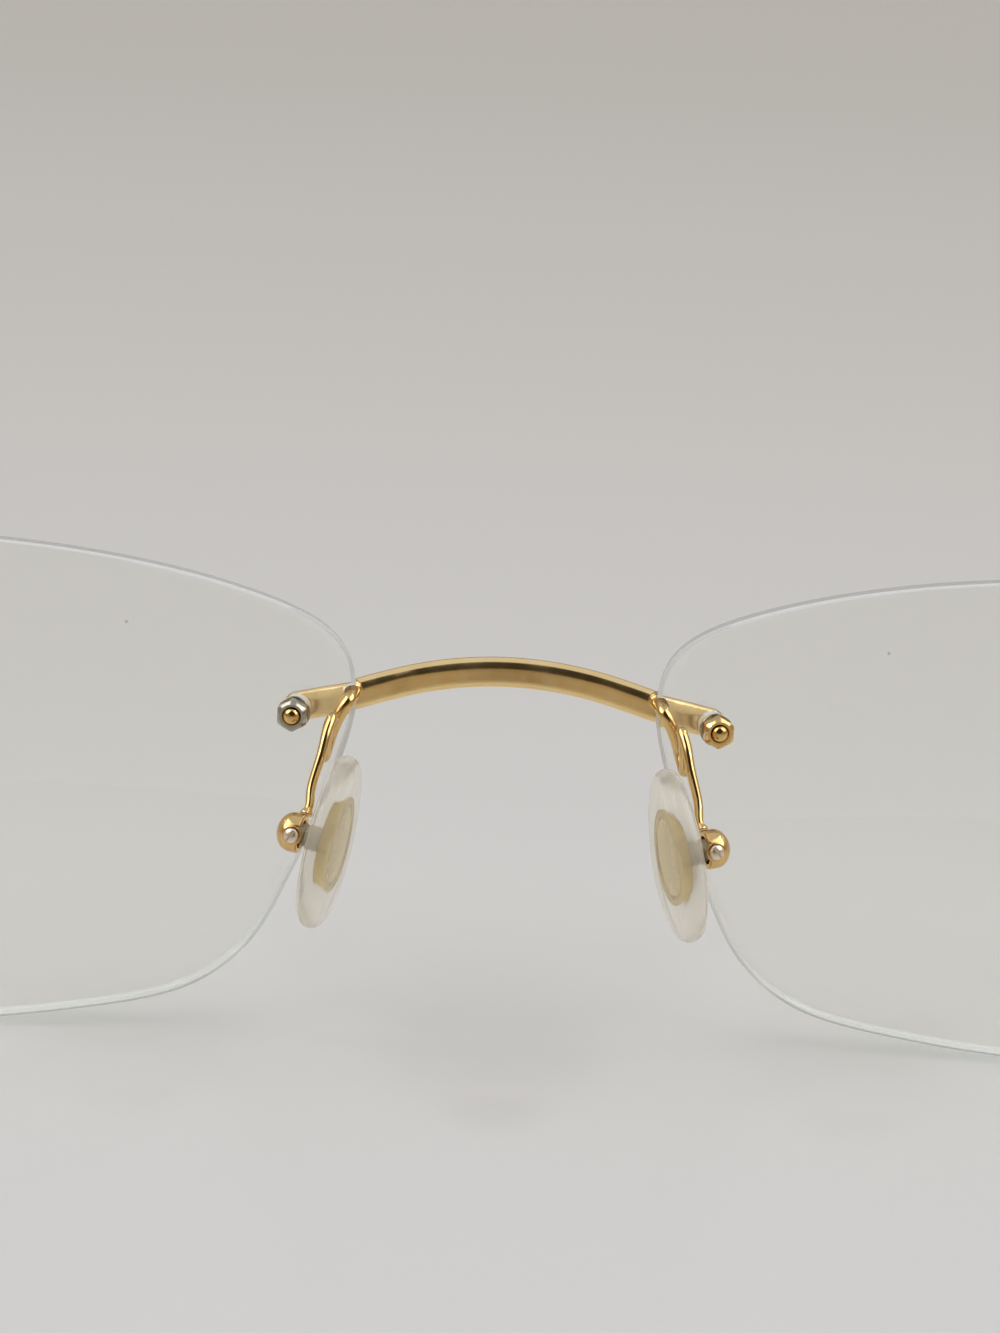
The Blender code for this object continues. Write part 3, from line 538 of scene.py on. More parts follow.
@dataclass(frozen=True)
class GroundEdge(Finish):
    """The lens's edge, ground and then half polished: a thin pale line with a soft grain."""

    clear: str = "#ECEEED"
    shade: str = "#D8DCDB"
    ior: float = 1.5
    roughness: float = 0.2
    transmission: float = 0.48
    grain_mm: float = 0.08
    grain_depth: float = 0.000002
    shadow: str = "#E8ECEC"

    def dress(self, tree: Tree, shader: Node) -> None:
        """Grain the colour and the surface.

        Args:
            tree: The material's tree.
            shader: Its main shader.
        """
        place = self.place(tree)
        size = {"Scale": 1 / self.grain_mm, "Detail": 2.0}
        grain = add_node(tree, "ShaderNodeTexNoise", size, {"Vector": place})
        colours = {"data_type": "RGBA", 6: srgb(self.shade), 7: srgb(self.clear)}
        tint = add_node(tree, "ShaderNodeMix", colours, {0: grain.outputs["Fac"]})
        tree.links.new(tint.outputs[2], shader.inputs["Base Color"])
        depth = {"Strength": 1.0, "Distance": self.grain_depth}
        bump = add_node(tree, "ShaderNodeBump", depth, {"Height": grain.outputs["Fac"]})
        tree.links.new(bump.outputs[0], shader.inputs["Normal"])
        shader.inputs["Roughness"].default_value = self.roughness
        shader.inputs["IOR"].default_value = self.ior
        shader.inputs["Transmission Weight"].default_value = self.transmission
        self.let_light_through(tree, shader, self.shadow)


@dataclass(frozen=True)
class ClearMoulding(Finish):
    """Moulded clear plastic or silicone: see-through, with a veil that thickens in soft clouds."""

    clear: str = "#F4F4F0"
    veil: str = "#DEDCD4"
    ior: float = 1.46
    roughness: float = 0.08
    transmission: float = 0.95
    cloud_mm: float = 2.5
    wave_depth: float = 0.00002
    shadow: str = "#E6E5E0"

    def dress(self, tree: Tree, shader: Node) -> None:
        """Cloud the colour and give the skin the faint waviness of a mould.

        Args:
            tree: The material's tree.
            shader: Its main shader.
        """
        place = self.place(tree)
        size = {"Scale": 1 / self.cloud_mm, "Detail": 2.0}
        cloud = add_node(tree, "ShaderNodeTexNoise", size, {"Vector": place})
        colours = {"data_type": "RGBA", 6: srgb(self.veil), 7: srgb(self.clear)}
        tint = add_node(tree, "ShaderNodeMix", colours, {0: cloud.outputs["Fac"]})
        tree.links.new(tint.outputs[2], shader.inputs["Base Color"])
        depth = {"Strength": 1.0, "Distance": self.wave_depth}
        bump = add_node(tree, "ShaderNodeBump", depth, {"Height": cloud.outputs["Fac"]})
        tree.links.new(bump.outputs[0], shader.inputs["Normal"])
        shader.inputs["Roughness"].default_value = self.roughness
        shader.inputs["IOR"].default_value = self.ior
        shader.inputs["Transmission Weight"].default_value = self.transmission
        self.let_light_through(tree, shader, self.shadow)


@dataclass(frozen=True)
class PolishedAcetate(Finish):
    """Tumbled brown acetate: dark with amber clouds under a wet-looking gloss."""

    dark: str = "#2E1A10"
    amber: str = "#7A4520"
    cloud_mm: float = 5.0
    cloud_stretch: float = 2.0
    ior: float = 1.48
    roughness: float = 0.22
    gloss_coat: float = 0.6
    coat_roughness: float = 0.05

    def dress(self, tree: Tree, shader: Node) -> None:
        """Draw the amber clouds, longer along the temple, and the gloss.

        Args:
            tree: The material's tree.
            shader: Its main shader.
        """
        place = self.place(tree)
        drawn = {"vector_type": "POINT", "Scale": (1 / self.cloud_stretch, 1.0, 1.0)}
        stretched = add_node(tree, "ShaderNodeMapping", drawn, {"Vector": place})
        size = {"Scale": 1 / self.cloud_mm, "Detail": 3.0, "Distortion": 0.6}
        cloud = add_node(tree, "ShaderNodeTexNoise", size, {"Vector": stretched.outputs[0]})
        limits = {"From Min": 0.4, "From Max": 0.68, "interpolation_type": "SMOOTHSTEP"}
        amount = add_node(tree, "ShaderNodeMapRange", limits, {"Value": cloud.outputs["Fac"]})
        colours = {"data_type": "RGBA", 6: srgb(self.dark), 7: srgb(self.amber)}
        tint = add_node(tree, "ShaderNodeMix", colours, {0: amount.outputs["Result"]})
        tree.links.new(tint.outputs[2], shader.inputs["Base Color"])
        shader.inputs["Roughness"].default_value = self.roughness
        shader.inputs["IOR"].default_value = self.ior
        shader.inputs["Coat Weight"].default_value = self.gloss_coat
        shader.inputs["Coat Roughness"].default_value = self.coat_roughness


@dataclass(frozen=True)
class Tabletop(Finish):
    """A pale lacquered table: matt to the eye, with a soft gloss at a low angle."""

    near: str = "#C9C8C6"
    # The far colour is the near one darkened: painted shade
    far: str = "#B7B6B2"
    near_y: float = -0.06
    far_y: float = -0.55
    roughness: float = 0.3
    gloss: float = 0.35

    def dress(self, tree: Tree, shader: Node) -> None:
        """Fade the colour away from the camera: painted shade that darkens the table with distance.

        Args:
            tree: The material's tree.
            shader: Its main shader.
        """
        where = add_node(tree, "ShaderNodeTexCoord").outputs["Object"]
        parts = add_node(tree, "ShaderNodeSeparateXYZ", links={0: where})
        span = {"From Min": self.far_y, "From Max": self.near_y}
        fade = add_node(tree, "ShaderNodeMapRange", span, {"Value": parts.outputs["Y"]})
        colours = {"data_type": "RGBA", 6: srgb(self.far), 7: srgb(self.near)}
        tint = add_node(tree, "ShaderNodeMix", colours, {0: fade.outputs["Result"]})
        tree.links.new(tint.outputs[2], shader.inputs["Base Color"])
        shader.inputs["Roughness"].default_value = self.roughness
        shader.inputs["Specular IOR Level"].default_value = self.gloss


# Gold plate buffed on small parts, its colour darkened below the bridge's gold as painted shade: deep yellow
# with hard bright and dark streaks
GOLD = PolishedPlate("gold_plate_buffed", "gold", "#E8C688", "#D2A968")
# Gold plate wiped by use: a softer mirror along the flat of the bridge, paler because the small parts' gold
# is darkened with painted shade
GOLD_BAR = PolishedPlate("gold_plate_wiped", "gold", roughness=(0.13, 0.24))
# Gold plate behind milky silicone: a greenish straw colour
GOLD_TRAY = PolishedPlate("gold_plate_under_silicone", "gold", "#DFC983", "#BFA75E", (0.08, 0.18))
# A thin flash of gold on the tray's floor: pale and satin
GOLD_PALE = PolishedPlate("gold_flash_plate", "gold", "#F6E4A8", "#E0CB84", (0.2, 0.35))
# Turned steel: warm grey with a soft shine
STEEL = PolishedPlate("steel_turned", "washer", "#BDB7A8", "#9E9888", (0.1, 0.22))
# Satin steel, painted pale and warm: a painted highlight that shows the pad screw's head as a bright dot
STEEL_PAINTED_HIGHLIGHT = PolishedPlate("steel_satin", "washer", "#F3E6D4", "#E4D2BC", (0.25, 0.38))
# Cast lens plastic: as clear as air but for its reflections and a few specks
LENS = OpticalPlastic("lens_plastic_cast_and_polished", "lens")
# The same plastic ground: it scatters light, so that the rim shows as a thin pale line
LENS_EDGE = GroundEdge("lens_edge_ground", "lens")
# Moulded silicone: milky clear; its index is set low, so that the rim stays faint
SILICONE = ClearMoulding(
    "pad_silicone_moulded", "pad", "#FAF8F2", "#F1EDE4",
    ior=1.28, roughness=0.13, transmission=0.8, shadow="#F8F7F4",
)
# Moulded nylon: a faintly yellow clear sleeve
NYLON = ClearMoulding("clear_nylon_moulded", "clear_plastic", "#ECE8DC", "#CFC9BA", shadow="#D8D4C8")
# Moulded nylon on the thicker pad plugs, painted a darker smoky grey than the sleeves: against the pale table
PLUG = ClearMoulding(
    "smoky_nylon_moulded", "clear_plastic", "#C9C1AC", "#A8A08C", transmission=0.7, shadow="#C4BEAE"
)
# Tumbled acetate: brown with amber clouds and a wet gloss
ACETATE = PolishedAcetate("acetate_tumbled", "tip")
# Lacquered table: pale grey, darkened away from the camera by painted shade
TABLE = Tabletop("table_lacquered", "")


def add_piece(
    name: str,
    surfaces: list[Surface],
    place: Matrix,
    finishes: list[Finish],
    body: str,
    nodes: tuple[str, ...] = (),
    sharp: float = CRISP,
) -> Piece:
    """Make a piece from its surfaces.

    Args:
        name: The piece's name.
        surfaces: Its closed surfaces, in a frame of their own.
        place: The matrix from that frame to the row's frame.
        finishes: Its finishes, which the surfaces' bands number.
        body: The body that it moves with.
        nodes: The nodes that it stands for.
        sharp: The angle past which an edge stays crisp.

    Returns:
        The piece, with its place in its mesh.
    """
    turn = np.array(place, float)
    points, faces, slots, unrolled, count = [], [], [], [], 0
    for surface in surfaces:
        local = surface.points(surface.grid)
        points.append(local @ turn[:3, :3].T + turn[:3, 3])
        stock = surface.grid * TO_MM if surface.unrolled is None else surface.unrolled
        unrolled.append(surface.points(stock))
        faces += (surface.quads() + count).tolist() + (surface.caps() + count).tolist()
        slots.append(surface.slots())
        count += len(local)
    mesh = bpy.data.meshes.new(name)
    mesh.from_pydata(np.vstack(points).tolist(), [], faces)
    mesh.polygons.foreach_set("material_index", np.concatenate(slots).astype(np.int32))
    spots = mesh.attributes.new("unrolled", "FLOAT_VECTOR", "POINT")
    spots.data.foreach_set("vector", np.vstack(unrolled).astype(np.float32).ravel())
    shape = bmesh.new()
    shape.from_mesh(mesh)
    bmesh.ops.recalc_face_normals(shape, faces=shape.faces)
    shape.to_mesh(mesh)
    shape.free()
    mesh.shade_smooth()
    mesh.set_sharp_from_angle(angle=math.radians(sharp))
    for finish in finishes:
        mesh.materials.append(finish.material())
    piece = bpy.data.objects.new(name, mesh)
    bpy.context.collection.objects.link(piece)
    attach(piece, body)
    if nodes:
        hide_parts(*nodes)
    log.info("%s: %d faces on %s", name, len(mesh.polygons), body)
    return piece


def cut(piece: Piece, surface: Surface, place: Matrix, slot: int = 0) -> None:
    """Cut a closed surface out of a piece, and keep the result as the piece's mesh.

    Args:
        piece: The piece to cut.
        surface: The cutter, in a frame of its own.
        place: The matrix from that frame to the row's frame.
        slot: Which of the piece's materials the cut faces take.
    """
    turn = np.array(place, float)
    mesh = bpy.data.meshes.new("cutter")
    points = surface.points(surface.grid) @ turn[:3, :3].T + turn[:3, 3]
    mesh.from_pydata(points.tolist(), [], surface.quads().tolist() + surface.caps().tolist())
    mesh.polygons.foreach_set("material_index", np.full(len(mesh.polygons), slot, np.int32))
    shape = bmesh.new()
    shape.from_mesh(mesh)
    bmesh.ops.recalc_face_normals(shape, faces=shape.faces)
    shape.to_mesh(mesh)
    shape.free()
    cutter = bpy.data.objects.new("cutter", mesh)
    bpy.context.collection.objects.link(cutter)
    boolean = piece.modifiers.new("cut", "BOOLEAN")
    boolean.operation = "DIFFERENCE"
    boolean.object = cutter
    bpy.context.view_layer.update()
    result = bpy.data.meshes.new_from_object(piece.evaluated_get(bpy.context.evaluated_depsgraph_get()))
    piece.modifiers.clear()
    old = piece.data
    piece.data = result
    result.shade_smooth()
    result.set_sharp_from_angle(angle=math.radians(CRISP))
    result.name = piece.name
    bpy.data.objects.remove(cutter)
    bpy.data.meshes.remove(mesh)
    bpy.data.meshes.remove(old)


@dataclass(frozen=True)
class Fits:
    """The clearances between pieces."""

    seat: float = 0.00008
    solder: float = 0.00005
    running: float = 0.00005


FITS = Fits()


@dataclass(frozen=True)
class Lens:
    """A rimless lens: two spherical faces and a ground edge, drawn for the wearer's left."""

    width: float = 0.054
    height: float = 0.0309
    thickness: float = 0.0022
    curve_radius: float = 0.13
    chamfer: float = 0.00015
    wrap: float = 5.0
    nose_gap: float = 0.019
    rim_share: float = 0.9993
    rings: int = 26
    wall_rings: int = 7
    sides: int = 320
    corners: tuple[tuple[float, float], ...] = (
        (0.0, 1.0), (-0.38, 0.95), (-0.685, 0.85), (-0.89, 0.725), (-0.97, 0.61),
        (-1.0, 0.415), (-0.974, 0.16), (-0.874, -0.305), (-0.763, -0.655), (-0.622, -0.835),
        (-0.352, -0.945), (0.0, -1.0), (0.39, -0.97), (0.69, -0.83), (0.89, -0.53),
        (0.985, -0.1), (0.985, 0.32), (0.87, 0.69), (0.63, 0.89), (0.33, 0.98),
    )  # shares of the half width and half height, from the top by way of the nose

    @property
    def nasal(self) -> float:
        """Return u at the nasal edge."""
        return -0.5 * self.width

    def turn(self) -> Matrix:
        """Return the turn of the lens about the vertical."""
        return turn_about("Z", self.wrap)

    def sag(self, u: Array, v: Array) -> Array:
        """Return how far the sphere lies behind its foremost point: R - sqrt(R^2 - u^2 - v^2)."""
        return self.curve_radius - np.sqrt(self.curve_radius**2 - u * u - v * v)

    def points(self, u: Array, v: Array, depth: Array | float = 0.0) -> Array:
        """Place points of the lens.

        Args:
            u: Distances outwards from the middle of the lens.
            v: Heights above its centre line.
            depth: Distances behind the middle of its thickness.

        Returns:
            The points, moved to the sphere and turned by the wrap about the nasal edge.
        """
        back = self.sag(u, v) - self.sag(self.nasal, 0.0) + depth
        flat = np.stack(np.broadcast_arrays(u - self.nasal, back, v), axis=-1)
        return flat @ np.array(self.turn().to_3x3()).T + (0.5 * self.nose_gap, 0.0, 0.0)

    def normals(self, u: Array, v: Array) -> Array:
        """Return the directions square to the lens, towards the wearer: (-u, R - sag, -v), turned."""
        flat = np.stack(np.broadcast_arrays(-u, self.curve_radius - self.sag(u, v), -v), axis=-1)
        return unit(flat) @ np.array(self.turn().to_3x3()).T

    def frame_at(self, u: float, v: float) -> Matrix:
        """Stand a frame on the lens, with its z axis towards the wearer.

        Args:
            u: Its distance outwards from the middle of the lens.
            v: Its height above the centre line.

        Returns:
            The matrix from that frame to the front's.
        """
        spot = np.float64(u), np.float64(v)
        z_axis = Vector(self.normals(*spot))
        x_axis = Vector((0, 0, 1)).cross(z_axis).normalized()
        return frame_of(Vector(self.points(*spot)), x_axis, z_axis.cross(x_axis), z_axis)

    def in_front(self, u: Array, v: Array, bar_depth: float) -> Array:
        """Return the centre line of a bar that lies on the front of the lens at (u, v)."""
        away = 0.5 * (self.thickness + bar_depth) + FITS.seat
        return self.points(u, v) - away * self.normals(u, v)

    def surface(self) -> Surface:
        """Draw the lens: its outline at growing shares on the front, a chamfered edge, and back.

        Returns:
            The surface, whose edge bands take the second material.
        """
        outline = spread(curve_through(np.array(self.corners), closed=True), self.sides + 1)[:-1]
        outline = outline * (0.5 * self.width, 0.5 * self.rim_share * self.height)
        half = 0.5 * self.thickness
        inner = 1 - 2 * self.chamfer / self.height
        face = np.sqrt(np.linspace(0.02, 1.0, self.rings)) * inner
        wall = np.linspace(self.chamfer - half, half - self.chamfer, self.wall_rings)
        share = np.concatenate([face, np.ones(self.wall_rings), face[::-1]])
        depth = np.concatenate([np.full(self.rings, -half), wall, np.full(self.rings, half)])
        u = share[:, None] * outline[:, 0]
        v = share[:, None] * outline[:, 1]
        bands = np.zeros(len(share) - 1, int)
        bands[self.rings - 1 : self.rings + self.wall_rings] = 1
        unrolled = np.stack(np.broadcast_arrays(u, v, depth[:, None]), axis=-1) * TO_MM
        return Surface(self.points(u, v, depth[:, None]), unrolled=unrolled, bands=bands)

    def build(self, side: Side, front: Matrix) -> Piece:
        """Make the lens of one side.

        Args:
            side: The side of the glasses.
            front: The matrix from the front's frame to the row's.

        Returns:
            The lens.
        """
        name = f"clear_lens_{side.word}"
        nodes = (f"lens_{side.word}",)
        return add_piece(name, [self.surface()], front @ side.mirror(), [LENS, LENS_EDGE], "front", nodes)


@dataclass(frozen=True)
class BarStock:
    """The drawn bar that the bridge and the endpieces are bent from: flat inside, domed in front."""

    height: float = 0.0019
    depth: float = 0.0012
    top_round: float = 0.00075
    bottom_round: float = 0.00036

    def section(self) -> Array:
        """Draw the section.

        It is a flat, a quarter ellipse up to the middle of the top, half an ellipse in front and a
        quarter circle at the bottom.

        Returns:
            Its points as pairs (towards the wearer, up).
        """
        half = 0.5 * self.height
        face = 0.5 * self.depth
        flat_z = np.linspace(self.bottom_round - half, half - self.top_round, 6)[1:-1]
        flat = np.stack([np.full_like(flat_z, face), flat_z], axis=1)
        top = np.radians(np.linspace(0, 90, 16))
        top_arc = np.stack([face * np.cos(top), half - self.top_round * (1 - np.sin(top))], axis=1)
        dome = np.radians(np.linspace(0, 180, 36))[1:]
        dome_arc = np.stack([-face * np.sin(dome), half * np.cos(dome)], axis=1)
        low = np.radians(np.linspace(270, 360, 12))
        low_arc = np.stack([np.cos(low), np.sin(low)], axis=1) * self.bottom_round
        low_arc += (face - self.bottom_round, self.bottom_round - half)
        return np.vstack([flat, top_arc, dome_arc, low_arc])

    def along(self, path: Array, heights: Array, depths: Array | float = 1.0) -> Surface:
        """Carry the section along a path.

        Args:
            path: The points of the path.
            heights: The share of the section's height at each point.
            depths: The share of its depth.

        Returns:
            The bar's surface.
        """
        depths = np.broadcast_to(depths, heights.shape)
        scale = np.stack([depths, heights], axis=1)[:, None]
        return sweep(path, self.section() * scale)

    def rounded_end(
        self, lens: Lens, hole: float, step: int, heights: HeightAt, count: int = 18
    ) -> tuple[Array, Array, Array]:
        """Round a bar's end about a screw hole: its half height is R cos a at R sin a past the hole.

        Args:
            lens: The lens that the bar lies on.
            hole: u of the hole.
            step: The way to the end, 1 outwards or -1 inwards.
            heights: A function of u that gives the bar's height on the lens.
            count: How many stations it takes.

        Returns:
            The path, and the shares of height and of depth.
        """
        turn = np.radians(np.linspace(0, 88, count + 1)[1:])
        u = hole + step * 0.5 * self.height * np.sin(turn)
        path = lens.in_front(u, heights(u), self.depth)
        return path, np.cos(turn), 1 - 0.25 * smoothstep((np.sin(turn) - 0.86) / 0.14)


@dataclass(frozen=True)
class LensMount:
    """A screw through the bar and the lens, with a bush, a washer and a nut."""

    lens: Lens
    stock: BarStock
    screw_radius: float = 0.0005
    head_radius: float = 0.00075
    head_height: float = 0.00055
    seat_depth: float = 0.00035
    bush_wall: float = 0.0003
    washer_radius: float = 0.00105
    washer_thickness: float = 0.00025
    nut_across_flats: float = 0.0018
    nut_height: float = 0.00115
    nut_corner: float = 1.115
    nut_cone: float = 0.84
    nut_cone_slope: float = 1.1
    nut_edge_break: float = 0.00006
    standout: float = 0.0003
    slot_width: float = 0.00022
    slot_depth: float = 0.00022

    def stack(self) -> tuple[float, float, float, float]:
        """Stack the washer and the nut on the lens.

        Returns:
            The heights where the washer starts and ends and where the nut starts and ends.
        """
        washer = 0.5 * self.lens.thickness + FITS.seat
        nut = washer + self.washer_thickness + FITS.solder
        return washer, washer + self.washer_thickness, nut, nut + self.nut_height

    def face(self) -> float:
        """Return the height of the bar's inner face."""
        return -0.5 * self.lens.thickness - FITS.seat

    def hole(self) -> Surface:
        """Draw the stepped hole through the bar and the lens.

        Returns:
            Its cutter.
        """
        seat = self.face() - self.stock.depth + self.seat_depth
        head = self.head_radius + FITS.running
        shank = self.screw_radius + FITS.running
        bush = shank + self.bush_wall + FITS.running
        step = self.face() + 0.5 * FITS.seat
        profile = [(head, seat - self.stock.depth), (head, seat), (shank, seat), (shank, step), (bush, step)]
        return turned([*profile, (bush, self.lens.thickness)])

    def screw(self) -> Surface:
        """Draw the screw: a domed head in front, and a domed end that stands out of the nut.

        Returns:
            Its surface; each dome is a quarter ellipse, turned.
        """
        seat = self.face() - self.stock.depth + self.seat_depth - FITS.solder
        end = self.stack()[-1] + self.standout
        rim = seat - 0.4 * self.head_height
        rise = 0.6 * self.screw_radius
        angle = np.radians(np.linspace(6, 90, 14))
        dome = 0.6 * self.head_height
        crown = np.stack([self.head_radius * np.sin(angle), rim - dome * np.cos(angle)], axis=1)
        under = [(self.head_radius, seat), (self.screw_radius, seat), (self.screw_radius, end - rise)]
        tip = np.stack([self.screw_radius * np.sin(angle), end - rise + rise * np.cos(angle)], axis=1)
        return turned(np.vstack([crown, under, tip[::-1][1:]]), 64)

    def slot(self) -> Surface:
        """Draw the driver slot across the screw's head.

        Returns:
            Its cutter, a block.
        """
        top = self.face() - self.stock.depth + self.seat_depth - self.head_height
        reach = 2 * self.head_radius
        return driver_slot(reach, self.slot_width, top - self.head_height, top + self.slot_depth)

    def bush(self) -> Surface:
        """Draw the sleeve between the screw and the lens.

        Returns:
            Its surface.
        """
        bore = self.screw_radius + FITS.running
        half = 0.5 * self.lens.thickness - FITS.running
        corners = [(bore, -half), (bore + self.bush_wall, -half), (bore + self.bush_wall, half), (bore, half)]
        return turned(soften(corners, 0.00006, closed=True), 64, Skin.LOOPED)

    def washer(self) -> Surface:
        """Draw the washer between the lens and the nut.

        Returns:
            Its surface, with rolled rims.
        """
        bore = self.screw_radius + FITS.running
        start, end, _, _ = self.stack()
        corners = [(bore, start), (self.washer_radius, start), (self.washer_radius, end), (bore, end)]
        return turned(soften(corners, 0.0001, closed=True), 72, Skin.LOOPED)

    def nut(self) -> Surface:
        """Draw a hexagon nut with turned corners.

        The hexagon's radius is its half width over the cosine of the angle from the nearest flat, but
        at most nut_corner times the half width. A cone caps it near each end.

        Returns:
            Its surface.
        """
        _, _, start, end = self.stack()
        bore = self.screw_radius + FITS.running
        flat = 0.5 * self.nut_across_flats
        angle = 2 * math.pi * np.arange(216) / 216
        near = (angle + math.pi / 6) % (math.pi / 3) - math.pi / 6
        hexagon = np.minimum(flat / np.cos(near), self.nut_corner * flat)
        height = np.concatenate([np.linspace(start, start + 0.0003, 16), np.linspace(end - 0.00035, end, 18)])
        lid = self.nut_cone * flat + self.nut_cone_slope * np.minimum(height - start, end - height)
        outer = np.minimum(hexagon[None, :], lid[:, None])
        b = self.nut_edge_break
        inner = np.broadcast_to([[bore + b], [bore], [bore], [bore + b]], (4, len(angle)))
        radius = np.vstack([outer, inner])
        level = np.concatenate([height, [end, end - b, start + b, start]])
        x, y = radius * np.cos(angle), radius * np.sin(angle)
        return Surface(np.stack([x, y, np.broadcast_to(level[:, None], x.shape)], axis=-1), Skin.LOOPED)

    def build(
        self, where: MountPlace, side: Side, u: float, v: float, front: Matrix, bar: Piece, glass: Piece
    ) -> None:
        """Drill the bar and the lens and fasten one with the other.

        Args:
            where: The edge of the lens that it stands at.
            side: The side of the glasses.
            u: The hole's distance outwards from the lens's middle.
            v: Its height.
            front: The matrix from the front's frame to the row's.
            bar: The bar that the hole goes through.
            glass: The lens that it goes through, which it leaves with a ground wall.
        """
        place = front @ side.mirror() @ self.lens.frame_at(u, v)
        cut(bar, self.hole(), place)
        cut(glass, self.hole(), place, slot=1)
        # The left nasal nut takes steel in place of gold, as a painted grey reflection
        nut_gold_or_painted_grey = STEEL if where is MountPlace.NASAL and side is Side.LEFT else GOLD
        parts = {
            "screw": (self.screw(), GOLD, CRISP), "bush": (self.bush(), NYLON, CRISP),
            "washer": (self.washer(), STEEL, CRISP), "nut": (self.nut(), nut_gold_or_painted_grey, CRISP_NUT),
        }
        for part, (surface, finish, sharp) in parts.items():
            node = f"{where.value}_{part}_{side.word}"
            piece = add_piece(f"clamp_{node}", [surface], place, [finish], "front", (node,), sharp)
            if part == "screw":
                cut(piece, self.slot(), place @ turn_about("Z", 35))


@dataclass(frozen=True)
class Bridge:
    """The bridge: one bar that arches over the nose, with a lug for each pad arm."""

    lens: Lens
    stock: BarStock
    hole_inset: float = 0.0036
    hole_height: float = 0.00515
    rise: float = 0.00155
    bow: float = 0.00157
    edge_height: float = 0.006
    lug_radius: float = 0.00048
    lug_clearance: float = 0.0001
    lug_inset: float = 0.00035
    lug_lift: float = 0.00045
    lug_reach: float = 0.0009

    @property
    def hole(self) -> float:
        """Return u of the nasal screw."""
        return self.lens.nasal + self.hole_inset

    def height_at(self, u: Array) -> Array:
        """Return the bar's height over the lens, on a straight line from the lens edge to the screw."""
        share = (u - self.lens.nasal) / self.hole_inset
        return self.edge_height + (self.hole_height - self.edge_height) * share

    def arch(self, x: Array) -> Array:
        """Draw the centre line between the lenses, a parabola in bow and in rise.

        Args:
            x: Distances from the middle of the nose.

        Returns:
            The points.
        """
        edge = self.lens.in_front(np.float64(self.lens.nasal), np.float64(self.edge_height), self.stock.depth)
        share = (x / edge[0]) ** 2
        back = edge[1] - self.bow * (1 - share)
        up = edge[2] + self.rise * (1 - share)
        return np.stack([x, back, up], axis=-1)

    def lug(self) -> Vector:
        """Place the left lug.

        Returns:
            Its middle on the bar's inner face.
        """
        u = np.float64(self.lug_inset + self.lens.nasal)
        middle = Vector(self.lens.in_front(u, self.height_at(u), self.stock.depth))
        return middle + Vector((0, 0.5 * self.stock.depth, self.lug_lift))

    def surface(self) -> Surface:
        """Draw the bar from one rounded end over the nose to the other.

        Returns:
            Its surface.
        """
        shares = np.array([1.0, 0.55, 0.15])
        u = self.lens.nasal + self.hole_inset * shares
        over = self.lens.in_front(u, self.height_at(u), self.stock.depth)
        nasal = np.float64(self.lens.nasal), np.float64(self.edge_height)
        edge = self.lens.in_front(*nasal, self.stock.depth)
        arch = self.arch(edge[0] * np.array([0.85, 0.6, 0.3]))
        half = np.vstack([over, arch])
        across = half[::-1] * (-1, 1, 1)
        anchors = np.vstack([across[::-1], self.arch(np.array([0.0])), half[::-1]])
        middle = spread(curve_through(anchors), 200)
        path, heights, depths = self.stock.rounded_end(self.lens, self.hole, 1, self.height_at)
        whole = np.vstack([path[::-1] * (-1, 1, 1), middle, path])
        ones = np.ones(len(middle))
        heights = np.concatenate([heights[::-1], ones, heights])
        return self.stock.along(whole, heights, np.concatenate([depths[::-1], ones, depths]))

    def lug_surface(self) -> Surface:
        """Draw a lug with a thin soldered foot and a soft collar at its end.

        Returns:
            Its surface, along z.
        """
        foot, r, end = 0.00009, self.lug_radius, self.lug_reach
        angle = np.radians(np.linspace(0, 90, 8))
        flare = np.stack([r + foot * (1 - np.sin(angle)), foot * (1 - np.cos(angle)) - 0.00005], axis=1)
        collar = [(r + 0.00005, end - 0.00018), (r + 0.00006, end - 0.00009), (r - 0.00002, end)]
        start = [(r + foot, -0.5 * self.stock.depth)]
        return turned(np.vstack([start, flare, collar]), 48)

    def notch(self) -> Surface:
        """Draw the notch in the lens edge that the lug passes through.

        Returns:
            Its cutter, along z.
        """
        radius = self.lug_radius + self.lug_clearance
        deep = self.lens.thickness
        return turned([(radius, -deep), (radius, 2 * deep)], 64)

    def build(self, front: Matrix, lenses: dict[Side, Piece]) -> Piece:
        """Make the bar and its lugs, and notch the lenses for them.

        Args:
            front: The matrix from the front's frame to the row's.
            lenses: The lens of each side.

        Returns:
            The bar.
        """
        bar = add_piece("bridge_bar", [self.surface()], front, [GOLD_BAR], "front", ("bridge",))
        for side in Side:
            place = front @ side.mirror() @ Matrix.Translation(self.lug()) @ ALONG_Y
            add_piece(f"bridge_lug_{side.word}", [self.lug_surface()], place, [GOLD], "front")
            cut(lenses[side], self.notch(), place, slot=1)
        return bar


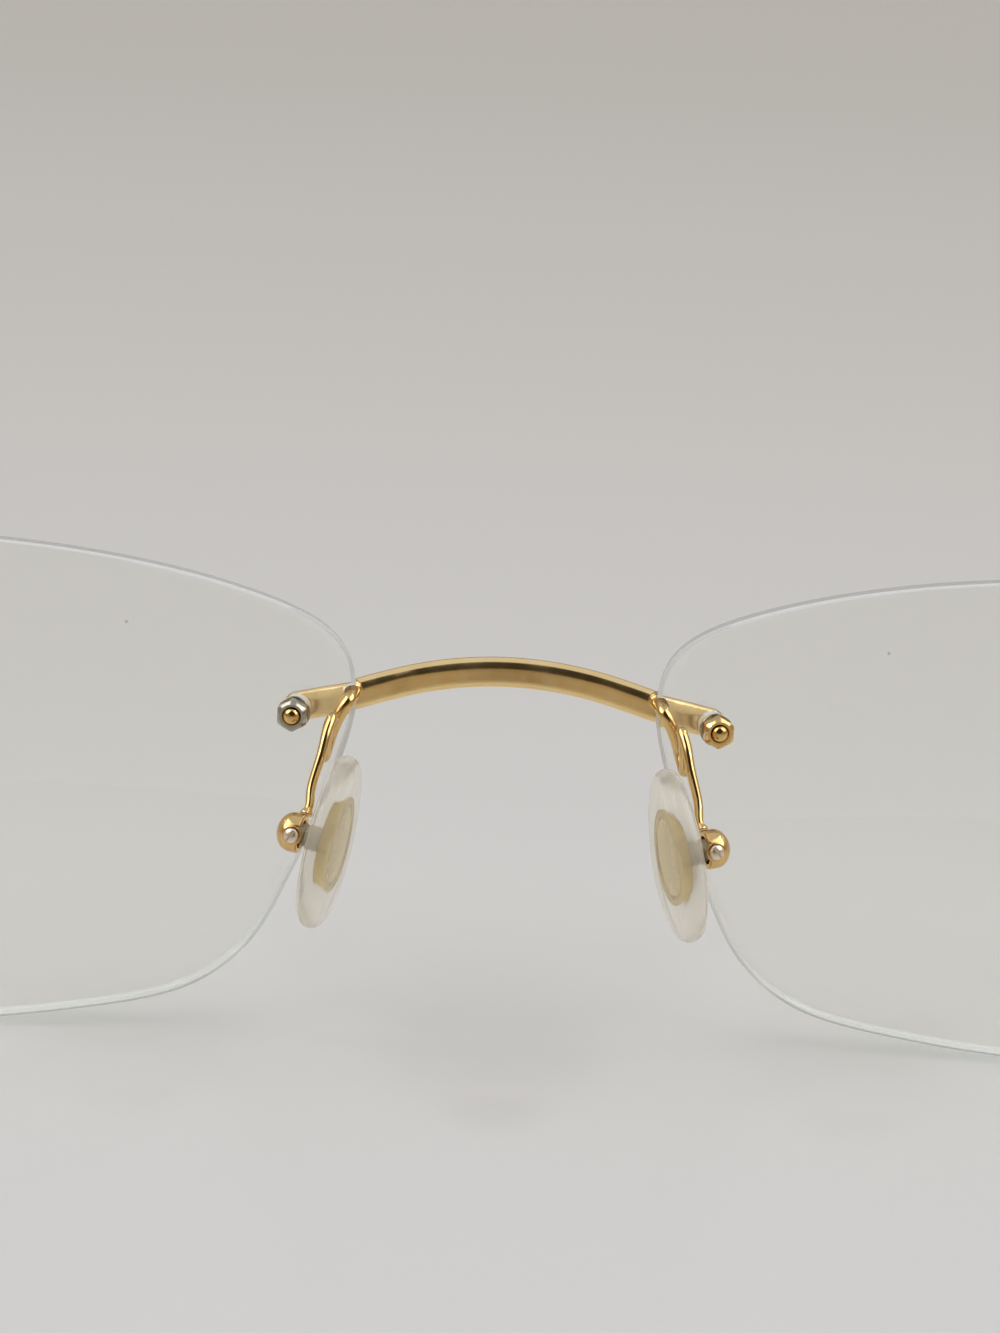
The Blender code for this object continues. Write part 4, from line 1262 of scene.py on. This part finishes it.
@dataclass(frozen=True)
class NosePad:
    """A pad arm with its box, and the silicone pad that rocks in it."""

    bridge: Bridge
    pivot_out: float = 0.0031
    pivot_back: float = 0.0074
    pivot_height: float = -0.0013
    frontal_angle: float = 10.5
    splay_angle: float = 15.0
    length: float = 0.0108
    width: float = 0.0068
    taper: float = 0.1
    thickness: float = 0.0016
    standoff: float = 0.00135
    core_length: float = 0.006
    core_width: float = 0.0045
    core_thickness: float = 0.00045
    core_depth: float = 0.00065
    stem_radius: float = 0.0007
    stem_tail: float = 0.00035
    box_radius: float = 0.00122
    box_wall: float = 0.00036
    box_mouth: float = 0.00035
    box_dome: float = 0.00125
    box_floor: float = 0.0007
    screw_radius: float = 0.00026
    screw_head_radius: float = 0.0006
    screw_head_height: float = 0.0003
    slot_width: float = 0.00014
    slot_depth: float = 0.0001
    arm_start_radius: float = 0.00046
    arm_end_radius: float = 0.00026
    arm_clearance: float = 0.0004
    solder_drop: float = 0.00016
    solder_share: float = 0.028
    strand_pitch: float = 0.00135
    loop_drop: float = 0.00375
    loop_rise: float = 0.0027
    bend: float = 0.0008
    bow: float = 0.0005
    landing: float = 0.00015
    approach: tuple[tuple[float, float], ...] = ((2.1, 0.5), (0.75, 0.0), (0.0, 0.0))

    def axes(self) -> tuple[Vector, Vector, Vector]:
        """Lay out the pad's axes.

        Returns:
            The ways outwards from the nose, towards the wearer, and up along the pad.
        """
        frontal, splay = math.radians(self.frontal_angle), math.radians(self.splay_angle)
        outward = Vector((math.cos(frontal), 0, math.sin(frontal)))
        upward = Vector((-math.sin(frontal), 0, math.cos(frontal)))
        back = Vector((0, 1, 0))
        across = back * math.cos(splay) + outward * math.sin(splay)
        return outward * math.cos(splay) - back * math.sin(splay), across, upward

    def pivot(self) -> Vector:
        """Return the middle of the pad screw."""
        return Vector((0.5 * self.bridge.lens.nose_gap + self.pivot_out, self.pivot_back, self.pivot_height))

    def arm_path(self) -> Array:
        """Draw the arm's centre line: back through the notch, down, up and down again to the box.

        Returns:
            Its points, from the lug to the box.
        """
        lens = self.bridge.lens
        start = self.bridge.lug() + Vector((0, self.bridge.lug_reach + FITS.solder, 0))
        out, across, up = self.axes()
        landing = (up * 0.9 - across * 0.44).normalized()
        end = self.pivot() - out * self.landing + landing * (self.box_radius + FITS.solder)
        strand = 0.5 * lens.thickness + self.arm_clearance + self.arm_start_radius
        low = start.z - self.loop_drop
        high = low + self.loop_rise
        fall = (end.x - start.x) / (start.z - end.z)
        bend = self.bend
        # Height, then bows out from the fall to the box, then strands towards the wearer
        bends = np.array([
            (start.z - 0.4 * bend, 0.2, -0.1), (start.z - 1.25 * bend, 0.6, 0.0),
            (start.z - 2.5 * bend, 0.75, 0.0), (low + bend, 0.6, 0.05), (low, 0.45, 0.6),
            (low + bend, 0.9, 1.08), (high - bend, 1.45, 1.15), (high, 1.55, 1.7),
            (high - bend, 1.5, 2.2), (low + 0.75 * bend, 1.1, 2.6),
        ])
        x = start.x + fall * (start.z - bends[:, 0]) + bends[:, 1] * self.bow
        middle = np.stack([x, strand + bends[:, 2] * self.strand_pitch, bends[:, 0]], axis=1)
        first = [tuple(start), (start.x, 0.4 * lens.thickness, start.z)]
        # The approach gives bends before the box and bows outwards
        last = [tuple(end + landing * far * bend + out * aside * self.bow) for far, aside in self.approach]
        return spread(curve_through(np.vstack([first, middle, last])), 260)

    def arm(self) -> Surface:
        """Draw the arm: a round wire that thins evenly, with a drop of solder at the box.

        Returns:
            Its surface.
        """
        path = self.arm_path()
        share = run_of(path) / run_of(path)[-1]
        radius = self.arm_start_radius + (self.arm_end_radius - self.arm_start_radius) * share
        radius = radius + self.solder_drop * smoothstep((share - 1) / self.solder_share + 1)
        angle = 2 * math.pi * np.arange(40) / 40
        ring = np.stack([np.cos(angle), np.sin(angle)], axis=1)
        return sweep(path, ring * radius[:, None, None], level=(1, 0, 0))

    def box(self) -> Surface:
        """Draw the pad box: a domed cup that opens towards the nose.

        Returns:
            Its surface; the dome is a quarter ellipse, turned.
        """
        inner = self.box_radius - self.box_wall
        side = self.box_dome - 0.8 * self.box_radius
        inside = [(0.02 * inner, self.box_floor), (inner, self.box_floor), (inner, -self.box_mouth)]
        lip = [(self.box_radius, -self.box_mouth), (self.box_radius, side)]
        shell = soften([*inside, *lip], 0.00013)
        angle = np.radians(np.linspace(0, 89, 20))[1:]
        rise = self.box_dome - side
        dome = np.stack([self.box_radius * np.cos(angle), side + rise * np.sin(angle)], axis=1)
        return turned(np.vstack([shell, dome]), 96)

    def boss(self) -> Surface:
        """Draw the flat boss on the box that the screw's head sits on.

        Returns:
            Its surface.
        """
        bore, rim = self.screw_radius + FITS.running, self.screw_head_radius
        corners = [(bore, 0.75 * self.box_radius), (rim, 0.75 * self.box_radius)]
        corners += [(rim, self.box_radius), (bore, self.box_radius)]
        return turned(soften(corners, 0.00007, closed=True), 72, Skin.LOOPED)

    def screw(self) -> Surface:
        """Draw the screw across the box, its low domed head towards the wearer.

        Returns:
            Its surface.
        """
        seat = self.box_radius + 0.5 * FITS.seat
        r, head = self.screw_radius, 0.78 * self.screw_head_radius
        rise = 0.75 * self.screw_head_height
        rim = seat + self.screw_head_height - rise
        angle = np.radians(np.linspace(0, 88, 16))
        crown = np.stack([head * np.cos(angle), rim + rise * np.sin(angle)], axis=1)
        shank = [(0.00001, -self.box_radius), (r, -self.box_radius), (r, seat), (head, seat)]
        return turned(np.vstack([soften(shank, 0.00009), crown]), 72)

    def screw_slot(self) -> Surface:
        """Draw the driver slot across the pad screw's head.

        Returns:
            Its cutter, a block.
        """
        top = self.box_radius + self.screw_head_height
        reach = 2 * self.screw_head_radius
        return driver_slot(reach, self.slot_width, top - self.slot_depth, top + self.slot_depth)

    def stem(self) -> Surface:
        """Draw the plug between the pad's core and its box.

        Returns:
            Its surface.
        """
        start = -self.standoff - self.core_depth + FITS.solder
        r, tail = self.stem_radius, self.stem_tail
        return turned(soften([(0.00001, start), (r, start), (r, tail), (0.00001, tail)], 0.00012), 64)

    def core(self) -> Surface:
        """Draw the core plate: an oval tray whose raised rim faces the nose.

        Returns:
            Its surface, whose floor takes the second material.
        """
        share = np.array([0.05, 0.5, 0.97, 1.0, 1.0, 0.97, 0.86, 0.8, 0.4, 0.05])
        deep = np.array([0.0, 0.0, 0.0, 0.12, 0.88, 1.0, 1.0, 0.5, 0.5, 0.5])
        outline = oval(self.core_length, self.core_width, self.taper)
        x = -self.standoff - self.core_depth - self.core_thickness * deep
        surface = stacked(outline * share[:, None, None], x)
        surface.bands = np.array([0, 0, 0, 0, 0, 0, 0, 1, 1])
        return surface

    def pad(self) -> Surface:
        """Draw the soft pad: ovals that swell from the back, hold their size and close to the nose.

        Returns:
            Its surface.
        """
        knots = np.array([
            (0.06, 0.0), (0.45, 0.0), (0.74, 0.0), (0.87, 0.03), (0.95, 0.12), (1.0, 0.34), (1.0, 0.58),
            (0.95, 0.82), (0.85, 0.94), (0.7, 0.985), (0.4, 1.0), (0.06, 1.0),
        ])
        line = spread(curve_through(knots), 64)
        outline = oval(self.length, self.width, self.taper, 128)
        x = -self.standoff - self.thickness * line[:, 1]
        return stacked(outline * line[:, 0, None, None], x)

    def build(self, side: Side, front: Matrix) -> None:
        """Make the arm, the box, the screw and the pad of one side.

        Args:
            side: The side of the glasses.
            front: The matrix from the front's frame to the row's.
        """
        mirrored = front @ side.mirror()
        word = side.word
        body = f"nose_pad_{word}"
        add_piece(f"pad_wire_{word}", [self.arm()], mirrored, [GOLD], "front", (f"pad_arm_{word}",))
        fixed = mirrored @ frame_of(self.pivot(), *self.axes())
        outward, across = fixed @ ALONG_X, fixed @ ALONG_Y
        bore = self.screw_radius + FITS.running
        cross = turned([(bore, -0.003), (bore, 0.003)], 48)
        box = add_piece(f"pad_cup_{word}", [self.box()], outward, [GOLD], "front", (f"pad_box_{word}",))
        cut(box, cross, across)
        node = (f"pad_screw_{word}",)
        # The pad screw's steel is painted pale and warm, as a painted highlight
        screw = add_piece(f"pad_cross_screw_{word}", [self.screw()], across, [STEEL_PAINTED_HIGHLIGHT], "front", node)
        cut(screw, self.screw_slot(), across @ turn_about("Z", 60))
        add_piece(f"pad_cup_boss_{word}", [self.boss()], across, [GOLD], "front")
        stem = add_piece(f"pad_plug_{word}", [self.stem()], outward, [PLUG], body, (f"pad_stem_{word}",))
        cut(stem, cross, across)
        node = (f"pad_core_{word}",)
        add_piece(f"pad_tray_{word}", [self.core()], fixed, [GOLD_TRAY, GOLD_PALE], body, node)
        pad = add_piece(f"silicone_pad_{word}", [self.pad()], fixed, [SILICONE], body, (f"pad_{word}",))


@dataclass(frozen=True)
class Endpiece:
    """The bar that turns the outer lens corner and carries the front half of the hinge."""

    lens: Lens
    stock: BarStock
    hole_inset: float = 0.0038
    hole_height: float = 0.0056
    reach: float = 0.0027
    corner_radius: float = 0.0022
    hinge_setback: float = 0.0094
    hinge_height: float = 0.0036
    hinge_clearance: float = 0.00012
    knuckle_radius: float = 0.00105
    tilt: float = 7.0
    butt_gap: float = 0.00006

    @property
    def hole(self) -> float:
        """Return u of the temporal screw."""
        return 0.5 * self.lens.width - self.hole_inset

    @property
    def offset(self) -> float:
        """Return how far the bar's centre line lies outside the hinge axis."""
        return self.knuckle_radius + self.hinge_clearance + 0.5 * self.stock.depth

    def height_at(self, u: Array) -> Array:
        """Return the bar's height over the lens, which is the screw's."""
        return np.full_like(u, self.hole_height)

    def edge(self) -> Array:
        """Return the centre line's point over the outer lens edge."""
        u = np.float64(0.5 * self.lens.width)
        return self.lens.in_front(u, np.float64(self.hole_height), self.stock.depth)

    def corner(self) -> Array:
        """Draw the corner: a quarter circle from sideways to straight back.

        Returns:
            The points of its centre line.
        """
        edge = self.edge()
        radius = self.corner_radius
        centre = edge + (self.reach - radius, 0.25 * self.stock.depth + radius, 0.0)
        turn = np.radians(np.linspace(0, 90, 25))
        return centre + radius * np.stack([np.sin(turn), -np.cos(turn), np.zeros_like(turn)], axis=1)

    def hinge_frame(self) -> Matrix:
        """Place the hinge in the front.

        Returns:
            Its frame, whose z is the hinge's axis and whose y runs back along the temple.
        """
        corner = self.corner()[-1]
        y = self.edge()[1] + self.hinge_setback
        z = corner[2] - math.tan(math.radians(self.tilt)) * (y - corner[1])
        matrix = turn_about("X", -self.tilt)
        matrix.translation = (corner[0] - self.offset, y, z)
        return matrix

    def surface(self) -> Surface:
        """Draw the bar from its rounded end at the screw to the hinge, where it grows taller.

        Returns:
            Its surface.
        """
        path, heights, depths = self.stock.rounded_end(self.lens, self.hole, -1, self.height_at)
        u = self.hole + np.array([0.0, 0.4, 0.8]) * self.hole_inset
        over = self.lens.in_front(u, self.height_at(u), self.stock.depth)
        corner = self.corner()
        end = np.array(self.hinge_frame() @ Vector((self.offset, -0.5 * self.butt_gap, 0)))
        back = corner[-1] + (end - corner[-1]) * np.array([0.15, 0.4, 0.7, 1.0])[:, None]
        line = spread(curve_through(np.vstack([over, corner[::6], back])), 260)
        share = (line[:, 1] - corner[-1, 1]) / (end[1] - corner[-1, 1])
        growth = 1 + (self.hinge_height / self.stock.height - 1) * smoothstep(share / 0.85)
        whole = np.vstack([path[::-1], line])
        depths = np.concatenate([depths[::-1], np.ones(len(line))])
        return self.stock.along(whole, np.concatenate([heights[::-1], growth]), depths)

    def build(self, side: Side, front: Matrix) -> Piece:
        """Make the endpiece of one side.

        Args:
            side: The side of the glasses.
            front: The matrix from the front's frame to the row's.

        Returns:
            The endpiece.
        """
        name = f"endpiece_bar_{side.word}"
        nodes = (f"endpiece_{side.word}",)
        return add_piece(name, [self.surface()], front @ side.mirror(), [GOLD], "front", nodes)


@dataclass(frozen=True)
class Hinge:
    """A three-barrel hinge: two barrels on the endpiece, one on the temple, and their screw."""

    endpiece: Endpiece
    screw_radius: float = 0.0005
    head_radius: float = 0.0008
    head_height: float = 0.0004
    leaf_length: float = 0.0032
    leaf_thickness: float = 0.00045
    edge_break: float = 0.00009
    hair: float = 0.00003
    slot_width: float = 0.0002
    slot_depth: float = 0.00018

    def barrel(self, low: float, high: float) -> Surface:
        """Draw a bored barrel with broken edges.

        Args:
            low: Its lower end along the axis.
            high: Its upper end.

        Returns:
            Its surface.
        """
        bore = self.screw_radius + FITS.running
        radius = self.endpiece.knuckle_radius
        corners = [(bore, low), (radius, low), (radius, high), (bore, high)]
        return turned(soften(corners, self.edge_break, closed=True, steps=5), 72, Skin.LOOPED)

    def leaf(self, towards: int, low: float, high: float) -> Surface:
        """Draw a leaf that joins a barrel to the bar.

        Args:
            towards: 1 for the temple's leaf, which runs back, or -1 for the front's.
            low: Its lower end along the axis.
            high: Its upper end.

        Returns:
            The leaf, with its edges broken by two smaller outlines at each end.
        """
        outer = self.endpiece.knuckle_radius + self.endpiece.hinge_clearance - FITS.solder
        inner = outer - self.leaf_thickness
        start = 0.5 * self.endpiece.butt_gap + FITS.solder
        foot, end = 0.62 * inner, self.leaf_length
        corners = [(outer, start), (outer, end), (inner, end)]
        corners += [(inner, start + 0.0011), (foot, start + 0.0005), (foot, start)]
        ring = soften(corners, 0.00025, closed=True, steps=6) * (1, towards)
        middle = ring.mean(axis=0)
        b = self.edge_break
        shares = np.array([1 - 2 * b / self.leaf_length, 1.0, 1.0, 1 - 2 * b / self.leaf_length])
        level = np.array([low, low + b, high - b, high])
        rows = middle + (ring - middle) * shares[:, None, None]
        heights = np.broadcast_to(level[:, None, None], (*rows.shape[:2], 1))
        return Surface(np.concatenate([rows, heights], axis=2))

    def screw(self) -> Surface:
        """Draw the hinge screw with a low domed head.

        Returns:
            Its surface; the dome is a quarter ellipse, turned.
        """
        height = self.endpiece.hinge_height
        top = 0.5 * height + FITS.running
        rim = top + 0.4 * self.head_height
        r, head = self.screw_radius, self.head_radius
        angle = np.radians(np.linspace(0, 88, 14))
        crown = np.stack([head * np.cos(angle), rim + 0.6 * self.head_height * np.sin(angle)], axis=1)
        return turned(np.vstack([[(r, -0.5 * height), (r, top), (head, top)], crown]), 64)

    def slot(self) -> Surface:
        """Draw the driver slot across the hinge screw's head.

        Returns:
            Its cutter, a block.
        """
        top = 0.5 * self.endpiece.hinge_height + FITS.running + self.head_height
        reach = 2 * self.head_radius
        return driver_slot(reach, self.slot_width, top - self.slot_depth, top + self.slot_depth)

    def build(self, side: Side, front: Matrix) -> None:
        """Make the hinge of one side.

        Args:
            side: The side of the glasses.
            front: The matrix from the front's frame to the row's.
        """
        word = side.word
        place = front @ side.mirror() @ self.endpiece.hinge_frame()
        half, third = 0.5 * self.endpiece.hinge_height, self.endpiece.hinge_height / 6
        shapes = [self.barrel(-half, -third), self.barrel(third, half)]
        shapes += [self.leaf(-1, -half, -third), self.leaf(-1, third, half), self.web(-half, half)]
        add_piece(f"hinge_outer_barrels_{word}", shapes, place, [GOLD], "front", (f"hinge_front_{word}",))
        inner = third - FITS.running
        shapes = [self.barrel(-inner, inner), self.leaf(1, -inner, inner)]
        node = (f"hinge_rear_{word}",)
        add_piece(f"hinge_inner_barrel_{word}", shapes, place, [GOLD], f"temple_arm_{word}", node)
        node = (f"hinge_screw_{word}",)
        screw = add_piece(f"hinge_pin_{word}", [self.screw()], place, [GOLD], "front", node)
        cut(screw, self.slot(), place @ turn_about("Z", 20))

    def web(self, low: float, high: float) -> Surface:
        """Draw the plate that joins the two outer barrels' leaves, a hair inside their faces.

        Args:
            low: The lower end of the lower leaf along the axis.
            high: The upper end of the upper leaf.

        Returns:
            Its surface.
        """
        hair = self.hair
        outer = self.endpiece.knuckle_radius + self.endpiece.hinge_clearance - FITS.solder - hair
        inner = outer - self.leaf_thickness + 2 * hair
        start = -self.endpiece.knuckle_radius - 2 * FITS.running
        end = hair - self.leaf_length
        corners = [(outer, start), (inner, start), (inner, end), (outer, end)]
        ring = soften(corners, 0.00012, closed=True, steps=5)
        level = np.array([low + self.edge_break + hair, high - self.edge_break - hair])
        heights = np.broadcast_to(level[:, None, None], (2, len(ring), 1))
        return Surface(np.concatenate([np.broadcast_to(ring, (2, *ring.shape)), heights], axis=2))


@dataclass(frozen=True)
class Temple:
    """A temple: a bar with a tall root, a core wire, and a tip moulded over it."""

    endpiece: Endpiece
    length: float = 0.14
    bend_start: float = 0.092
    bend_radius: float = 0.02
    bend_angle: float = 44.0
    root_length: float = 0.01
    height: float = 0.002
    depth: float = 0.001
    inward_curve: float = 0.003
    wire_radius: float = 0.0006
    wire_taper: float = 0.005
    tip_start: float = 0.074
    tip_mouth: float = 0.00115
    tip_growth: float = 0.026
    tip_height: float = 0.00457
    tip_depth: float = 0.0026
    tip_trim: float = 0.00006
    mouth_draw: float = 0.12
    mouth_length: float = 0.0005
    blind_end: float = 0.006

    def points(self, s: Array) -> Array:
        """Draw the centre line: straight, an arc down, and straight, with an even curve inwards.

        Args:
            s: Distances along it from the hinge.

        Returns:
            The points.
        """
        start = 0.4 * self.length
        inward = self.inward_curve * np.maximum((s - start) / (self.length - start), 0.0) ** 2
        bent = np.maximum(s - self.bend_start, 0.0)
        angle = np.minimum(bent / self.bend_radius, math.radians(self.bend_angle))
        rest = bent - self.bend_radius * angle
        back = np.minimum(s, self.bend_start) + self.bend_radius * np.sin(angle) + rest * np.cos(angle)
        drop = self.bend_radius * (1 - np.cos(angle)) + rest * np.sin(angle)
        return np.stack([self.endpiece.offset - inward, back, -drop], axis=1)

    def bar(self) -> Surface:
        """Draw the bar: its section shrinks from the root's, then turns into the round core wire.

        Returns:
            Its surface.
        """
        end = self.length - self.blind_end - 2 * FITS.solder
        s = np.linspace(0.5 * self.endpiece.butt_gap, end, 320)
        root = 1 - smoothstep(s / self.root_length)
        height = self.height + (self.endpiece.hinge_height - self.height) * root
        depth = self.depth + (self.endpiece.stock.depth - self.depth) * root
        stock = self.endpiece.stock
        section = stock.section()
        scale = np.stack([depth / stock.depth, height / stock.height], axis=1)
        flat = section * scale[:, None]
        round_wire = unit(flat) * self.wire_radius
        share = smoothstep((s - self.tip_start + self.wire_taper) / self.wire_taper)[:, None, None]
        return sweep(self.points(s), flat + (round_wire - flat) * share)

    def tip(self) -> Surface:
        """Draw the tip: a blind bore, a mouth, and an oval sleeve that swells and ends round.

        Returns:
            Its surface, from the bore's end out of the mouth and along the sleeve.
        """
        angle = 2 * math.pi * np.arange(48) / 48
        ring = np.stack([np.cos(angle), np.sin(angle)], axis=1)
        deep = np.linspace(self.tip_start, self.length - self.blind_end, 90)
        bore = sweep(self.points(deep), ring * (self.wire_radius + FITS.running))
        rounding = 0.5 * self.tip_height
        end = self.length - self.tip_trim
        last = end - rounding * (1 - np.sin(np.radians(np.linspace(0, 88, 20))))
        s = np.concatenate([np.linspace(self.tip_start, end - rounding, 170)[:-1], last])
        growth = smoothstep((s - self.tip_start) / self.tip_growth)
        depth = self.tip_mouth + (0.5 * self.tip_depth - self.tip_mouth) * growth
        height = self.tip_mouth + (0.5 * self.tip_height - self.tip_mouth) * growth
        beyond = np.maximum(s - end + rounding, 0.0) / rounding
        share = np.sqrt(1 - beyond**2)
        drawn_in = 1 - smoothstep((s - self.tip_start) / self.mouth_length)
        share = share * (1 - self.mouth_draw * drawn_in)
        size = np.stack([depth * share, height * share], axis=1)[:, None]
        outer = sweep(self.points(s), ring * size)
        grid = np.vstack([bore.grid[::-1], outer.grid])
        return Surface(grid, unrolled=np.vstack([bore.unrolled[::-1], outer.unrolled]))

    def build(self, side: Side, front: Matrix) -> None:
        """Make the temple of one side.

        Args:
            side: The side of the glasses.
            front: The matrix from the front's frame to the row's.
        """
        place = front @ side.mirror() @ self.endpiece.hinge_frame()
        word = side.word
        body = f"temple_arm_{word}"
        add_piece(f"temple_bar_{word}", [self.bar()], place, [GOLD], body, (f"temple_{word}",))
        add_piece(f"temple_sleeve_{word}", [self.tip()], place, [ACETATE], body, (f"temple_tip_{word}",))


def front_matrix(endpiece: Endpiece) -> Matrix:
    """Return where the front stands, from the left temple's joint.

    The joint's axis leans by the front's lean less the temple's tilt, and its position is the
    hinge's place in the front, turned by the lean and moved.

    Args:
        endpiece: The endpiece that holds the hinge.

    Returns:
        The matrix from the front's frame to the row's frame.
    """
    joint = next(j for j in frame["joints"] if j["name"] == "temple_left_fold")
    lean = endpiece.tilt + math.degrees(math.asin(-joint["axis"][1]))
    turn = turn_about("X", lean)
    origin = Vector(joint["pos_m"]) - turn @ endpiece.hinge_frame().translation
    return Matrix.Translation(origin) @ turn


@dataclass(frozen=True)
class Glow:
    """A soft round patch of the surroundings.

    Attributes:
        azimuth: Its middle, from +Y towards +X.
        elevation: Its middle's height over the horizon.
        inner: The angle from its middle to which it is full.
        outer: The angle at which it has faded out.
        colour: Its colour.
        strength: How bright it is; 1 shows as its colour is written.
    """

    azimuth: float
    elevation: float
    inner: float
    outer: float
    colour: str
    strength: float

    def direction(self) -> tuple[float, float, float]:
        """Return the unit vector to its middle."""
        a, e = math.radians(self.azimuth), math.radians(self.elevation)
        return (math.sin(a) * math.cos(e), math.cos(a) * math.cos(e), math.sin(e))


@dataclass(frozen=True)
class Studio:
    """A pale table under a broad soft light, in a room that the polished metal mirrors."""

    floor_reach: float = 3.0
    wall: str = "#BDBBB7"
    room: str = "#A19480"
    glows: tuple[Glow, ...] = (
        Glow(0, 90, 44, 74, "#D6DAE6", 1.0),
        Glow(0, 38, 28, 36, "#5A544C", 0.4),
        Glow(0, 0, 5, 14, "#8F8476", 1.0),
        Glow(75, 48, 18, 30, "#FFFFFF", 2.5),
        Glow(-75, 48, 18, 30, "#FFFFFF", 2.5),
        Glow(62, 38, 2, 3, "#FFF8EE", 22.0),
        Glow(-62, 38, 2, 3, "#FFF8EE", 22.0),
        Glow(118, 52, 2, 3, "#FFFFFF", 22.0),
        Glow(-118, 52, 2, 3, "#FFFFFF", 22.0),
    )
    focus: tuple[float, float, float] = (0.0, -0.07031, 0.02387)
    distance: float = 0.2
    azimuth: float = 2.0
    elevation: float = 18.0
    roll: float = 3.0
    focal_px: float = 3180.0
    focus_px: tuple[float, float] = (503.0, 662.0)
    sidestep: float = 0.0003

    def floor(self) -> None:
        """Lay the table as a flat square."""
        reach = self.floor_reach
        mesh = bpy.data.meshes.new("table")
        corners = [(-reach, -reach, 0), (reach, -reach, 0), (reach, reach, 0), (-reach, reach, 0)]
        mesh.from_pydata(corners, [], [(0, 1, 2, 3)])
        mesh.materials.append(TABLE.material())
        table = bpy.data.objects.new("table", mesh)
        bpy.context.collection.objects.link(table)

    def room_light(self) -> None:
        """Paint the room by direction: each glow covers what lies under it, by its cosine.

        The metal mirrors the painted room, and the camera sees a plain wall in its place.
        """
        world = bpy.data.worlds.new("room")
        bpy.context.scene.world = world
        world.use_nodes = True
        tree = world.node_tree
        where = add_node(tree, "ShaderNodeTexCoord").outputs["Generated"]
        way = add_node(tree, "ShaderNodeVectorMath", {"operation": "NORMALIZE"}, {0: where}).outputs[0]
        red, green, blue, _ = srgb(self.room)
        light = add_node(tree, "ShaderNodeCombineXYZ", {0: red, 1: green, 2: blue}).outputs[0]
        for glow in self.glows:
            dot = {"operation": "DOT_PRODUCT", 1: glow.direction()}
            facing = add_node(tree, "ShaderNodeVectorMath", dot, {0: way}).outputs["Value"]
            rim, core = math.cos(math.radians(glow.outer)), math.cos(math.radians(glow.inner))
            span = {"From Min": rim, "From Max": core, "interpolation_type": "SMOOTHSTEP"}
            amount = add_node(tree, "ShaderNodeMapRange", span, {"Value": facing}).outputs["Result"]
            colour = [glow.strength * value for value in srgb(glow.colour)[:3]]
            settings = {"data_type": "VECTOR", 5: colour}
            light = add_node(tree, "ShaderNodeMix", settings, {0: amount, 4: light}).outputs[1]
        # The camera sees a plain pale wall past the table, also through the lenses
        rays = add_node(tree, "ShaderNodeLightPath").outputs
        seen = {0: rays["Is Camera Ray"], 1: rays["Is Transmission Ray"]}
        direct = add_node(tree, "ShaderNodeMath", {"operation": "MAXIMUM"}, seen).outputs[0]
        wall = {"data_type": "VECTOR", 5: srgb(self.wall)[:3]}
        light = add_node(tree, "ShaderNodeMix", wall, {0: direct, 4: light}).outputs[1]
        background = tree.nodes["Background"]
        tree.links.new(light, background.inputs["Color"])
        background.inputs["Strength"].default_value = 1.0

    def camera(self) -> None:
        """Stand the camera where the photograph was taken."""
        a, e, roll = (math.radians(v) for v in (self.azimuth, self.elevation, self.roll))
        back = Vector((math.sin(a) * math.cos(e), math.cos(a) * math.cos(e), math.sin(e)))
        level = (-back).cross(Vector((0, 0, 1))).normalized()
        over = level.cross(-back)
        right = math.cos(roll) * level + math.sin(roll) * over
        up = math.cos(roll) * over - math.sin(roll) * level
        width, height = PHOTO_SIZE
        aside = (self.focus_px[0] - 0.5 * width) / self.focal_px
        down = (self.focus_px[1] - 0.5 * height) / self.focal_px
        ray = (-back + aside * right - down * up).normalized()
        data = bpy.data.cameras.new("camera")
        data.sensor_fit = "VERTICAL"
        data.sensor_height = 24.0
        data.lens = self.focal_px / height * data.sensor_height
        data.clip_start = 0.001
        camera = bpy.data.objects.new("camera", data)
        position = Vector(self.focus) - ray * self.distance + Vector((self.sidestep, 0, 0))
        camera.matrix_world = frame_of(position, right, up, back)
        bpy.context.collection.objects.link(camera)
        bpy.context.scene.camera = camera

    def build(self) -> None:
        """Set the table, the light and the camera."""
        self.floor()
        self.room_light()
        self.camera()
        bpy.context.scene.view_settings.view_transform = "Standard"


def main() -> None:
    """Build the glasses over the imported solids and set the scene."""
    logging.basicConfig(level=logging.INFO, format="%(message)s")
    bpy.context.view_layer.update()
    lens, stock = Lens(), BarStock()
    bridge, endpiece = Bridge(lens, stock), Endpiece(lens, stock)
    mount, pad = LensMount(lens, stock), NosePad(bridge)
    hinge, temple = Hinge(endpiece), Temple(endpiece)
    front = front_matrix(endpiece)
    lenses = {side: lens.build(side, front) for side in Side}
    bar = bridge.build(front, lenses)
    for side in Side:
        outer = endpiece.build(side, front)
        height = float(bridge.height_at(np.float64(bridge.hole)))
        hole = endpiece.hole, endpiece.hole_height
        mount.build(MountPlace.NASAL, side, bridge.hole, height, front, bar, lenses[side])
        mount.build(MountPlace.TEMPORAL, side, *hole, front, outer, lenses[side])
        pad.build(side, front)
        hinge.build(side, front)
        temple.build(side, front)
    Studio().build()


if __name__ == "__main__":
    main()
